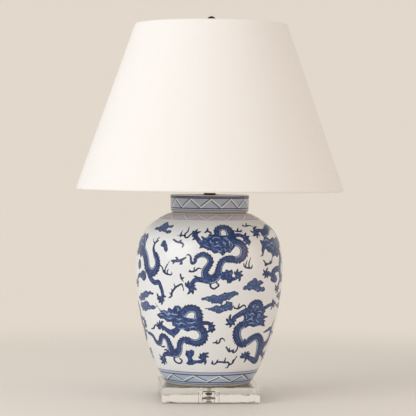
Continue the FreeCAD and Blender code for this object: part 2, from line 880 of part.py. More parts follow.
jar_blank = make_jar_blank()
top_ring = make_ring(True)
pieces = {
    "base_block": make_base_block(),
    "base_pads": make_base_pads(),
    "base_washer": make_base_washer(),
    "base_nut": make_base_nut(),
    "lamp_pipe": make_lamp_pipe(),
    "jar_body": make_jar_body(jar_blank),
    "cord_bushing": make_cord_bushing(jar_blank),
    "jar_lid": make_jar_lid(),
    "vase_cap": make_vase_cap(),
    "top_washer": make_top_washer(),
    "top_nut": make_top_nut(),
    "harp_saddle": make_harp_saddle(),
    "harp": make_harp(),
    "sleeve_left": make_sleeve(-1),
    "sleeve_right": make_sleeve(1),
    "harp_stud": make_harp_stud(),
    "socket_cap": make_socket_cap(),
    "set_screw": make_set_screw(),
    "socket_shell": make_socket_shell(),
    "socket_liner": make_socket_liner(),
    "socket_body": make_socket_body(),
    "terminal_screws": make_terminal_screws(),
    "socket_screw_shell": make_screw_shell(),
    "socket_contact": make_socket_contact(),
    "switch_shaft": make_switch_shaft(),
    "switch_knob": make_switch_knob(),
    "bulb_base": make_bulb_base(),
    "bulb_globe": make_bulb_globe(),
    "shade_top_ring": top_ring,
    "shade_bottom_ring": make_ring(False),
    "shade_fabric": make_shade_fabric(make_arm_notches()),
    "shade_spider": make_shade_spider(top_ring),
    "finial": make_finial(),
}

for node, shape in pieces.items():
    save(shape, node)
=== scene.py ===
import functools
import math

import bmesh
import bpy
import numpy as np
from bpy.props import FloatProperty, FloatVectorProperty, IntProperty, PointerProperty
from mathutils import Euler, Matrix, Vector


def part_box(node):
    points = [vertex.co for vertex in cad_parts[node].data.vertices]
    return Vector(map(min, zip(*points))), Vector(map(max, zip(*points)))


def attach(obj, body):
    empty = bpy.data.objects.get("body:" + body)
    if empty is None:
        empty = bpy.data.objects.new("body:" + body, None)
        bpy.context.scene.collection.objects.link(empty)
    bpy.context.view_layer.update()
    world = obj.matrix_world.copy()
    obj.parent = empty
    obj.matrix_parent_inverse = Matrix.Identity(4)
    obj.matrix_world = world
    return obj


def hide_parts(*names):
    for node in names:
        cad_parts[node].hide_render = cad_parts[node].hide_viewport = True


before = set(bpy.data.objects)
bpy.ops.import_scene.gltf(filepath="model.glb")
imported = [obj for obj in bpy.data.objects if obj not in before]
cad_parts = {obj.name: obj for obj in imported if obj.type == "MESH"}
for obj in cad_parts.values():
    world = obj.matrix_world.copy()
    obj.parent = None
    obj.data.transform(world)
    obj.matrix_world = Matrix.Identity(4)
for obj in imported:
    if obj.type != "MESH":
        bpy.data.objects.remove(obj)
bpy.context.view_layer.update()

bl_info = {
    "name": "Ginger Jar Lamp",
    "version": (1, 0, 0),
    "blender": (4, 5, 0),
    "location": "3D View > Sidebar > Lamp",
    "description": "Builds a painted ginger jar table lamp with its shade, harp and lampholder",
    "category": "Add Mesh",
}

# Everything is in metres in the lamp's own frame: it stands on z = 0 with its axis on +Z.
# The painting on the jar is laid out in millimetres, as its painter would measure it.

MM = 0.001

# ---------------------------------------------------------------- sizes

FRONT = math.radians(-93.9)
"""The turn about the axis that faces the photographer."""

JAR_COLUMNS = 420
JAR_ROWS = 200
JAR_INSIDE_ROWS = 26
JAR_FOOT_RADIUS = 73.0 * MM
JAR_FOOT_BEVEL = 1.4 * MM
JAR_FOOT_FLARE = math.radians(36.0)
JAR_FOOT_FLARE_SHARE = 0.26
JAR_BELLY_FALL_SHARE = 0.28
JAR_BELLY_RISE_SHARE = 0.85
JAR_ROUND_REACH = 0.45
JAR_ROUND_RISE = 0.75
JAR_FLAT_SHARE = 0.30
JAR_FOOT_RING = 12.0 * MM
JAR_FOOT_RECESS = 5.0 * MM
JAR_BELLY_HEIGHT = 194.0 * MM
JAR_SHOULDER_HEIGHT = 291.6 * MM
JAR_WALL = 7.0 * MM
JAR_FLOOR = 11.0 * MM
NECK_RADIUS = 60.0 * MM
NECK_WALL = 6.0 * MM
NECK_EDGE = 1.0 * MM
PIPE_HOLE = 6.3 * MM
INLET_RADIUS = 5.5 * MM
INLET_SPARE = 10.0 * MM
INLET_SIDES = 32
CURVE_STEPS = 400
GLAZE_CREASE = 28.0
"""Bends sharper than this, in degrees, stay sharp."""
GLAZE_IOR = 1.5

LID_COLUMNS = 256
LID_BORE = 60.8 * MM
LID_TOP_THICKNESS = 7.0 * MM
LID_EDGE = 2.2 * MM
LID_TAPER = 0.8 * MM
LID_BEVEL = 2.4 * MM
LID_DISH = 2.6 * MM
LID_SEAT_SLACK = 1.5 * MM
LID_RIM = 3.0 * MM
LID_RIM_BEND = 1.4 * MM
LID_ROWS = 8
LID_EDGE_STEPS = 7
LID_HOLE = 5.3 * MM

HEM_INSIDE = 2.2 * MM
CLOTH = 0.45 * MM
LINING = 0.75 * MM
GLUE_GAP = 0.02 * MM
HEM_WRAP = math.radians(240.0)
HEM_STEPS = 22
COVER_ROWS = 60
LINING_ROWS = 8
ARM_TURNS = (90, 210, 330)
NOTCH_RADIUS = 2.1 * MM
NOTCH_REACH = 10.0 * MM
NOTCH_SIDES = 20
SEAM_RISE = 0.5 * MM
SEAM_EDGE_DROP = 0.35
SEAM_ROWS = 40
SEAM_HALF_WIDTH = 5.0 * MM
WARP_THREADS = 2100
WEFT_PITCH = 0.55 * MM

ACRYLIC_TINT = (0.97, 0.985, 0.98)
ACRYLIC_IOR = 1.49

FLOOR_RINGS = (8.0, 3.0, 1.5, 1.1, 0.7, 0.3, 0.0)
FLOOR_SPOKES = 96
MELT = (0.7, 1.5)
"""Where the floor starts to melt into the backdrop, and where it has."""
KEY_LIGHT = ((-2.5, -1.9, 1.6), (2.6, 2.0), (0.97, 0.987, 1.0))
FILL_LIGHT = ((2.4, -1.6, 0.9), (2.0, 1.4), (1.0, 0.68, 0.47))
"""Place, size and tint of a light."""
LIT_MIDDLE = Vector((0, 0, 0.3))
ROOM_TINT = (1.0, 0.98, 0.955)

MARGIN = 0.004
"""Bare edge round each strip of the jar's layout for baking, as a share of its side."""
STRIP = 0.47
"""Height of each of the two strips, as a share of the layout's side."""

GIRTH = 120.0
"""Radius in millimetres at which the painting's sideways distances are measured."""
FAR = 60.0
"""The distance that a place has before any mark comes near it."""
REACH = 9.0
"""How far from a mark its distances are worked out."""
LINE_STEP = 2.0
TINY = 1e-9
"""Keeps a division away from 0."""
SPOT_HALF_LENGTH = 0.2
CLAW_BEND = 0.18
CLAW_KNUCKLE = 0.55
CLAW_WIDTHS = (2.2, 2.1, 2.2, 1.9, 0.7)
SPINE_PITCH = 4.2
SPINE_HEIGHT = 2.6
SCALES_PER_MM = 0.42
RUNG_PITCH = 2.8

FOOT_BORDER = (9.2, 20.8)
SHOULDER_BORDER = (305.0, 319.5)
LID_BORDER = (8.6, 22.8)
"""Lower and upper ends of a border's zigzag, in millimetres."""
FOOT_BAND = (14.7, 7.6, 0.2)
SHOULDER_BAND = (312.3, 9.0, 0.2)
LID_BAND = (15.0, 13.0, 0.15)
"""Middle, half width and softness of a border's ground, in millimetres."""
PALE_BAR = (0.0, 1.0, 0.3)
DARK_BAR = (0.0, 0.9, 0.25)
BAR_LEAN = 0.8
HATCHES_PER_BAR = 14
HATCH_SLANT = 0.55
JAR_LINES = (
    (22.8, 1.1, 0.3, 1.0), (28.2, 0.8, 0.3, 0.7), (7.6, 0.8, 0.3, 1.0), (3.4, 0.6, 0.3, 0.7),
    (303.6, 0.9, 0.4, 0.35), (320.6, 1.2, 0.5, 0.4))
LID_SHAKY_LINES = ((27.0, 0.9, 0.25, 1.0), (7.2, 0.8, 0.25, 1.0))
LID_EVEN_LINES = ((24.4, 0.8, 0.25, 1.0), (4.0, 0.6, 0.25, 0.7), (25.7, 1.2, 0.25, 0.5))
"""Lines round jar and lid: height, half width and softness in millimetres, and strength."""


def colour(red, green, blue):
    """A colour as a screen shows it, 0 to 255, turned into light."""
    def light(value):
        value /= 255
        return value / 12.92 if value <= 0.04045 else ((value + 0.055) / 1.055) ** 2.4
    return light(red), light(green), light(blue)


def colour_setting(name, description, red, green, blue):
    return FloatVectorProperty(
        name=name, description=description, subtype="COLOR", size=3, min=0, max=1,
        default=colour(red, green, blue))


def number_setting(name, description, default, unit="NONE"):
    return FloatProperty(name=name, description=description, default=default, unit=unit)


# ---------------------------------------------------------------- settings

class JARLAMP_PG_stage(bpy.types.PropertyGroup):
    """Floor, backdrop, lamps and camera."""
    floor: colour_setting("Floor", "Colour of the pale floor", 242, 235, 226)
    backdrop: colour_setting("Backdrop", "Colour behind the lamp", 226, 216, 203)
    distance: number_setting("Distance", "From the lamp's axis to the camera", 3.23, "LENGTH")
    eye_height: number_setting("Eye height", "Height of the camera over the floor", 0.411, "LENGTH")
    tilt: number_setting("Tilt", "How far the camera looks down", math.radians(1.502), "ROTATION")
    aim: number_setting(
        "Aim", "How far the camera looks past the lamp's axis", math.radians(0.049), "ROTATION")
    roll: number_setting("Roll", "How far the camera leans", math.radians(0.57), "ROTATION")
    lens: number_setting("Lens", "Focal length in millimetres", 163.0, "CAMERA")
    key_power: number_setting("Key light", "Power of the large soft light at the left", 49.0, "POWER")
    fill_power: number_setting("Fill light", "Power of the soft light at the right", 12.0, "POWER")
    sky: number_setting("Room light", "Strength of the light from all round", 0.62)


class JARLAMP_PG_ceramic(bpy.types.PropertyGroup):
    """The jar and its lid."""
    ground: colour_setting("Ground", "White of the glazed clay", 234, 236, 238)
    line: colour_setting("Line", "Darkest blue of the brushwork", 20, 32, 76)
    fill: colour_setting("Fill", "Blue inside the brushwork", 58, 88, 146)
    cloud: colour_setting("Cloud", "Blue inside the clouds", 80, 106, 156)
    wash: colour_setting("Wash", "Pale blue of thin washes", 164, 188, 218)
    foot_band: colour_setting("Foot border", "Ground of the border at the foot", 204, 222, 248)
    # Painted light: the shoulder border's ground is lighter and pinker than the foot border's, for the warm
    # light that falls on the shoulder, laid over the border's own violet grey.
    shoulder_band_with_painted_light: colour_setting("Shoulder border", "Ground of the border at the shoulder", 234, 222, 238)
    # Painted shade: the lid border's ground is the foot border's made a little greyer, for the shadow that
    # the lampshade casts on the lid.
    lid_band_with_painted_shade: colour_setting("Lid border", "Ground of the border round the lid", 204, 214, 236)
    clay: colour_setting("Clay", "Bare fired clay", 196, 178, 152)


class JARLAMP_PG_shade(bpy.types.PropertyGroup):
    """The cloth shade."""
    cloth: colour_setting("Cloth", "Colour of the woven cover", 246, 243, 239)
    lining: colour_setting("Lining", "Colour of the stiff backing", 240, 238, 233)
    columns: IntProperty(name="Columns", description="Steps round the shade", default=256, min=32)


class JARLAMP_PG_fittings(bpy.types.PropertyGroup):
    """Metal, plastic, glass and acrylic parts."""
    bronze: colour_setting("Bronze", "Dark rubbed bronze", 78, 55, 40)
    brass: colour_setting("Brass", "Lacquered brass", 206, 170, 98)
    steel: colour_setting("Steel", "Zinc plated steel", 190, 188, 184)
    aluminium: colour_setting("Aluminium", "Drawn aluminium", 214, 214, 213)
    black: colour_setting("Black", "Moulded black plastic", 34, 31, 29)
    pads: colour_setting("Pads", "Milky pads under the foot block", 224, 224, 220)
    bushing: colour_setting("Bushing", "Plastic of the cord bushing", 226, 221, 211)
    board: colour_setting("Board", "Insulating fibre board", 150, 128, 102)
    glass: colour_setting("Glass", "Soft white glass of the bulb", 244, 243, 239)
    rings: colour_setting("Rings", "Coating of the shade's two rings", 228, 226, 221)


class JARLAMP_PG_settings(bpy.types.PropertyGroup):
    """All settings of the lamp."""
    stage: PointerProperty(type=JARLAMP_PG_stage, name="Stage", description="Floor, lamps and camera")
    ceramic: PointerProperty(type=JARLAMP_PG_ceramic, name="Ceramic", description="Jar and lid")
    shade: PointerProperty(type=JARLAMP_PG_shade, name="Shade", description="Cloth shade")
    fittings: PointerProperty(type=JARLAMP_PG_fittings, name="Fittings", description="Metal and glass")


# ---------------------------------------------------------------- node shorthand

class Field:
    """A number that varies over a surface: an output of a material's nodes, with sums written out."""

    def __init__(self, tree, socket):
        self.tree = tree
        self.socket = socket

    def maths(self, operation, *others):
        node = self.tree.nodes.new("ShaderNodeMath")
        node.operation = operation
        for slot, value in enumerate((self,) + others):
            join(self.tree, node.inputs[slot], value)
        return Field(self.tree, node.outputs[0])

    def __add__(self, other):
        return self.maths("ADD", other)

    def __sub__(self, other):
        return self.maths("SUBTRACT", other)

    def __mul__(self, other):
        return self.maths("MULTIPLY", other)

    def __truediv__(self, other):
        return self.maths("DIVIDE", other)

    def least(self, other):
        return self.maths("MINIMUM", other)

    def most(self, other):
        return self.maths("MAXIMUM", other)

    def size(self):
        return self.maths("ABSOLUTE")

    def zigzag(self, height):
        """Up to height and down again, over and over."""
        return self.maths("PINGPONG", height)

    def step(self, low, high, start=0.0, end=1.0):
        """A smooth change from start to end as this goes from low to high."""
        node = self.tree.nodes.new("ShaderNodeMapRange")
        node.interpolation_type = "SMOOTHSTEP"
        for slot, value in zip(("Value", "From Min", "From Max", "To Min", "To Max"),
                               (self, low, high, start, end)):
            join(self.tree, node.inputs[slot], value)
        return Field(self.tree, node.outputs["Result"])

    def fall(self, low, high):
        """A smooth change from 1 to 0 as this goes from low to high."""
        return self.step(low, high, 1.0, 0.0)

    def line(self, centre, half_width, softness):
        """1 on a line where this equals centre, 0 away from it."""
        return (self - centre).size().fall(half_width - softness, half_width + softness)


def join(tree, socket, value):
    if isinstance(value, Field):
        tree.links.new(value.socket, socket)
    elif isinstance(value, bpy.types.NodeSocket):
        tree.links.new(value, socket)
    elif socket.type == "RGBA" and len(value) == 3:
        socket.default_value = (*value, 1.0)
    else:
        socket.default_value = value


class Finish:
    """One material, its shader and the nodes that colour it."""

    def __init__(self, name, **sockets):
        self.material = bpy.data.materials.new(name)
        self.material.use_nodes = True
        self.tree = self.material.node_tree
        self.shader = self.tree.nodes["Principled BSDF"]
        for label, value in sockets.items():
            self.set(label.replace("_", " "), value)
        self.place = self.node("ShaderNodeTexCoord", "Object")

    @functools.cached_property
    def axes(self):
        """How far a point lies along x, y and z in the lamp's frame."""
        parts = self.tree.nodes.new("ShaderNodeSeparateXYZ")
        join(self.tree, parts.inputs[0], self.place)
        return [Field(self.tree, part) for part in parts.outputs]

    def set(self, label, value):
        join(self.tree, self.shader.inputs[label], value)

    def node(self, kind, output, settings=(), **inputs):
        made = self.tree.nodes.new(kind)
        for label, value in dict(settings).items():
            setattr(made, label, value)
        for label, value in inputs.items():
            join(self.tree, made.inputs[label.replace("_", " ")], value)
        return Field(self.tree, made.outputs[output])

    def point(self, x, y, z):
        return self.node("ShaderNodeCombineXYZ", 0, X=x, Y=y, Z=z)

    def value(self, name):
        """A number stored on the mesh."""
        return self.node("ShaderNodeAttribute", "Fac", {"attribute_name": name})

    def noise(self, scale, detail=3.0, roughness=0.5, place=None):
        return self.node("ShaderNodeTexNoise", 0, Vector=place or self.place, Scale=scale, Detail=detail,
                         Roughness=roughness)

    def cells(self, scale, place=None):
        return self.node("ShaderNodeTexVoronoi", 0, Vector=place or self.place, Scale=scale)

    def mix(self, share, first, second):
        """first where share is 0 and second where it is 1."""
        made = self.tree.nodes.new("ShaderNodeMix")
        made.data_type = "RGBA"
        join(self.tree, made.inputs["Factor"], share)
        join(self.tree, made.inputs[6], first)
        join(self.tree, made.inputs[7], second)
        return Field(self.tree, made.outputs[2])

    def over(self, under, *coats):
        """Coats of colour laid over each other: the share and the colour of each."""
        for share, coat in coats:
            under = self.mix(share, under, coat)
        return under

    def bump(self, height, strength, depth):
        made = self.node("ShaderNodeBump", 0, Height=height, Strength=strength, Distance=depth)
        self.set("Normal", made)
        return self

    def vary(self, field, base, dark, light, rougher, roughness):
        """Let the colour and the roughness follow a field that goes from 0 to 1."""
        self.set("Base Color", self.mix(field, tinted(base, dark), tinted(base, light)))
        self.set("Roughness", field * rougher + roughness)

    def turn(self):
        """Turn about the lamp's axis, counted from the front, in radians."""
        x, y, _ = self.axes
        toward = x * math.cos(FRONT) + y * math.sin(FRONT)
        aside = y * math.cos(FRONT) - x * math.sin(FRONT)
        return aside.maths("ARCTAN2", toward)

    def radius(self):
        """Distance from the lamp's axis."""
        x, y, _ = self.axes
        return (x * x + y * y).maths("SQRT")


def tinted(base, factor):
    return tuple(min(1.0, part * factor) for part in base)


def paint_nodes(finish, *nodes):
    """Give carried-over nodes their finish."""
    for node in nodes:
        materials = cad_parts[node].data.materials
        materials.clear()
        materials.append(finish.material)


# ---------------------------------------------------------------- mesh shorthand

def new_object(name, data):
    made = bpy.data.objects.new(name, data)
    bpy.context.scene.collection.objects.link(made)
    return made


def new_mesh(name, points, faces, finish):
    mesh = bpy.data.meshes.new(name)
    mesh.from_pydata([tuple(point) for point in points], [], [tuple(face) for face in faces])
    mesh.materials.append(finish.material)
    return mesh


def new_piece(name, points, faces, body, slot, finish, replaces=(), sharp=35.0):
    """A mesh that rides on a body of the lamp and takes one of its finishes."""
    mesh = new_mesh(name, points, faces, finish)
    mesh.polygons.foreach_set("use_smooth", [True] * len(mesh.polygons))
    mesh.set_sharp_from_angle(angle=math.radians(sharp))
    piece = new_object(name, mesh)
    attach(piece, body)
    if replaces:
        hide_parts(*replaces)
    return piece


def quads(rows, columns, closed=True):
    """Faces of rows of points, each row a ring, with the last row joined to the first if closed."""
    row, column = np.indices((rows if closed else rows - 1, columns))
    above = (row + 1) % rows
    beside = (column + 1) % columns
    return np.stack([
        row * columns + column, row * columns + beside,
        above * columns + beside, above * columns + column], -1).reshape(-1, 4)


def turned(outline, columns, start=0.0, closed=True):
    """Points and faces of an outline of (radius, height), turned about the axis."""
    outline = np.array(outline)
    turn = start + np.arange(columns) * 2 * math.pi / columns
    points = np.empty((len(outline), columns, 3))
    points[..., 0] = outline[:, :1] * np.cos(turn)
    points[..., 1] = outline[:, :1] * np.sin(turn)
    points[..., 2] = outline[:, 1:]
    return points.reshape(-1, 3), quads(len(outline), columns, closed)


def pole_curve(poles):
    """Points along the smooth curve that its poles pull."""
    share = np.linspace(0, 1, CURVE_STEPS)[:, None]
    last = len(poles) - 1
    return sum(
        math.comb(last, index) * (1 - share) ** (last - index) * share ** index * np.array(pole)
        for index, pole in enumerate(poles))


def arc(centre, radius, start, sweep, steps):
    """Points round part of a circle, as (radius, height)."""
    angle = start + sweep * np.linspace(0, 1, steps)
    return np.column_stack([centre[0] + radius * np.cos(angle), centre[1] + radius * np.sin(angle)])


def lengths_along(points):
    return np.concatenate([[0.0], np.cumsum(np.hypot(*np.diff(points, axis=0).T))])


def respaced(points, count):
    """The same line with its points evenly spread."""
    along = lengths_along(points)
    wanted = np.linspace(0, along[-1], count)
    return np.column_stack([np.interp(wanted, along, points[:, axis]) for axis in (0, 1)])


def store(mesh, name, columns, rows, values, elsewhere):
    """Keep a number per point on a turned mesh: values on some of its rows, elsewhere on the rest."""
    whole = np.full((len(mesh.vertices) // columns, columns), elsewhere, np.float32)
    whole[rows] = values
    mesh.attributes.new(name, "FLOAT", "POINT").data.foreach_set("value", whole.ravel())


def bore(piece, radius, depth, segments, *places):
    """Cut round holes out of a piece, each along the z of its place."""
    cutter = bmesh.new()
    for place in places:
        bmesh.ops.create_cone(
            cutter, cap_ends=True, segments=segments, radius1=radius, radius2=radius, depth=depth,
            matrix=place)
    mesh = bpy.data.meshes.new("cutter")
    cutter.to_mesh(mesh)
    cutter.free()
    tool = new_object("cutter", mesh)
    cut = piece.modifiers.new("cut", "BOOLEAN")
    cut.operation = "DIFFERENCE"
    cut.solver = "EXACT"
    cut.object = tool
    left = bpy.data.meshes.new_from_object(piece.evaluated_get(bpy.context.evaluated_depsgraph_get()))
    piece.modifiers.clear()
    whole = piece.data
    piece.data = left
    bpy.data.meshes.remove(whole)
    bpy.data.objects.remove(tool)


# ---------------------------------------------------------------- the painting

def flowing(points, closed=False):
    """A smooth line through given points."""
    points = np.array(points, float)
    if closed:
        ends = np.vstack([points[-1:], points, points[:2]])
    else:
        ends = np.vstack([2 * points[:1] - points[1:2], points, 2 * points[-1:] - points[-2:-1]])
    line = []
    for before, start, end, after in zip(ends, ends[1:], ends[2:], ends[3:]):
        count = max(2, math.ceil(np.hypot(*(end - start)) / LINE_STEP))
        share = np.arange(count)[:, None] / count
        line.append(0.5 * (
            2 * start + (end - before) * share
            + (2 * before - 5 * start + 4 * end - after) * share ** 2
            + (3 * start - before - 3 * end + after) * share ** 3))
    line.append(ends[-2:-1])
    return np.vstack(line)


class Painting:
    """Brushwork as signed distances, in millimetres, at each point of the jar's side.

    A place is (across, up): across runs round the jar from the middle of the front, measured
    at its girth, and up runs along its side from the foot.
    """

    def __init__(self, columns, ups, radii):
        self.columns = columns
        self.pitch = 2 * math.pi * GIRTH / columns
        self.ups = ups
        self.squeeze = radii / GIRTH
        shape = (len(ups), columns)
        self.layers = {name: np.full(shape, FAR) for name in ("ink", "pale")}
        self.notes = {name: np.zeros(shape) for name in ("tone", "body", "run", "back")}

    def window(self, marks):
        """Rows and columns near a mark, and where they are."""
        low = marks.min(0) - REACH
        high = marks.max(0) + REACH
        rows = np.flatnonzero((self.ups >= low[1]) & (self.ups <= high[1]))
        numbers = np.arange(
            math.floor(low[0] / self.pitch), math.ceil(high[0] / self.pitch) + 1)
        columns = (numbers + self.columns // 2) % self.columns
        return rows[:, None], columns[None, :], (numbers * self.pitch)[None, :], self.ups[rows][:, None]

    def from_line(self, window, line, widths):
        """Distance from a tapered line, how far along it, and how far to its left."""
        rows, _, across, up = window
        squeeze = self.squeeze[rows][..., None]
        start = line[:-1]
        step = np.diff(line, axis=0)
        away_x = (across[..., None] - start[:, 0]) * squeeze
        away_y = up[..., None] - start[:, 1]
        step_x = step[:, 0] * squeeze
        step_y = step[:, 1]
        length = np.sqrt(step_x ** 2 + step_y ** 2) + TINY
        share = np.clip((away_x * step_x + away_y * step_y) / length ** 2, 0, 1)
        distance = np.hypot(away_x - share * step_x, away_y - share * step_y)
        distance = distance - (widths[:-1] + share * np.diff(widths))
        nearest = distance.argmin(-1)[..., None]
        run = lengths_along(line)[:-1] + share * length
        left = (step_x * away_y - step_y * away_x) / length
        return [np.take_along_axis(values, nearest, -1)[..., 0] for values in (distance, run, left)]

    def from_outline(self, window, outline):
        """Distance from a closed outline, less than 0 inside it."""
        closed = np.vstack([outline, outline[:1]])
        distance = self.from_line(window, closed, np.zeros(len(closed)))[0]
        across, up = (part[..., None] for part in window[2:])
        start, end = closed[:-1], closed[1:]
        crosses = (start[:, 1] > up) != (end[:, 1] > up)
        rise = end[:, 1] - start[:, 1]
        rise = np.where(rise == 0, TINY, rise)
        where = start[:, 0] + (up - start[:, 1]) / rise * (end[:, 0] - start[:, 0])
        inside = (crosses & (across < where)).sum(-1) % 2 == 1
        return np.where(inside, -distance, distance)

    def lay(self, layer, window, distance, **notes):
        """Keep a mark where it is the nearest one so far."""
        rows, columns = window[:2]
        old = self.layers[layer][rows, columns]
        nearer = distance < old
        self.layers[layer][rows, columns] = np.where(nearer, distance, old)
        if layer == "ink":
            for name, field in self.notes.items():
                field[rows, columns] = np.where(nearer, notes.get(name, 0.0), field[rows, columns])

    def lift(self, window, distance):
        """Leave the ground bare inside a mark."""
        rows, columns = window[:2]
        self.layers["ink"][rows, columns] = np.maximum(self.layers["ink"][rows, columns], -distance)


class Brush:
    """Paints one motif, moved round the jar by shift."""

    def __init__(self, painting, shift):
        self.painting = painting
        self.shift = (shift, 0.0)

    def swept(self, points, widths):
        """A line whose half width goes through widths: its window, distance, run and left."""
        line = flowing(np.array(points, float) + self.shift)
        window = self.painting.window(line)
        share = lengths_along(line) / lengths_along(line)[-1]
        spread = np.interp(share, np.linspace(0, 1, len(widths)), widths)
        return window, *self.painting.from_line(window, line, spread)

    def filled(self, outline, soft):
        """A filled shape, with corners or with a soft outline: its window and distance."""
        outline = np.array(outline, float) + self.shift
        if soft:
            outline = flowing(outline, closed=True)[:-1]
        window = self.painting.window(outline)
        return window, self.painting.from_outline(window, outline)

    def stroke(self, points, *widths, layer="ink"):
        window, distance, _, _ = self.swept(points, widths)
        self.painting.lay(layer, window, distance)

    def strokes(self, *lines, widths=(1.6, 1.6, 0.9), layer="ink"):
        for line in lines:
            self.stroke(line, *widths, layer=layer)

    def patch(self, outline, tone=0.0, soft=False):
        self.painting.lay("ink", *self.filled(outline, soft), tone=tone)

    def bare(self, outline):
        """A place inside the brushwork where the ground shows."""
        self.painting.lift(*self.filled(outline, True))

    def spot(self, place, radius, layer="ink"):
        across, up = place
        self.stroke([(across - SPOT_HALF_LENGTH, up), (across + SPOT_HALF_LENGTH, up)], radius, radius,
                    layer=layer)

    def body(self, points, widths, back=1):
        """A scaly body with spines along its back, which is on the left of its way if back is 1."""
        window, distance, run, left = self.swept(points, widths)
        self.painting.lay("ink", window, distance, body=1.0, run=run, back=left * back)

    def foot(self, palm, tips, radius=3.6):
        """Claws that spread from a palm, each bent a little."""
        self.spot(palm, radius)
        palm = np.array(palm, float)
        for tip in tips:
            way = np.array(tip, float) - palm
            bend = np.array([-way[1], way[0]]) * CLAW_BEND
            self.stroke([palm, palm + way * CLAW_KNUCKLE + bend, tip], *CLAW_WIDTHS)

    def flame(self, stem, *spikes, width=1.5):
        """A wisp with spikes."""
        self.stroke(stem, width * 0.8, width, width, width * 0.6)
        for spike in spikes:
            self.stroke(spike, width, width * 0.8, width * 0.4)

    def cloud(self, outline):
        self.patch(outline, tone=1.0, soft=True)


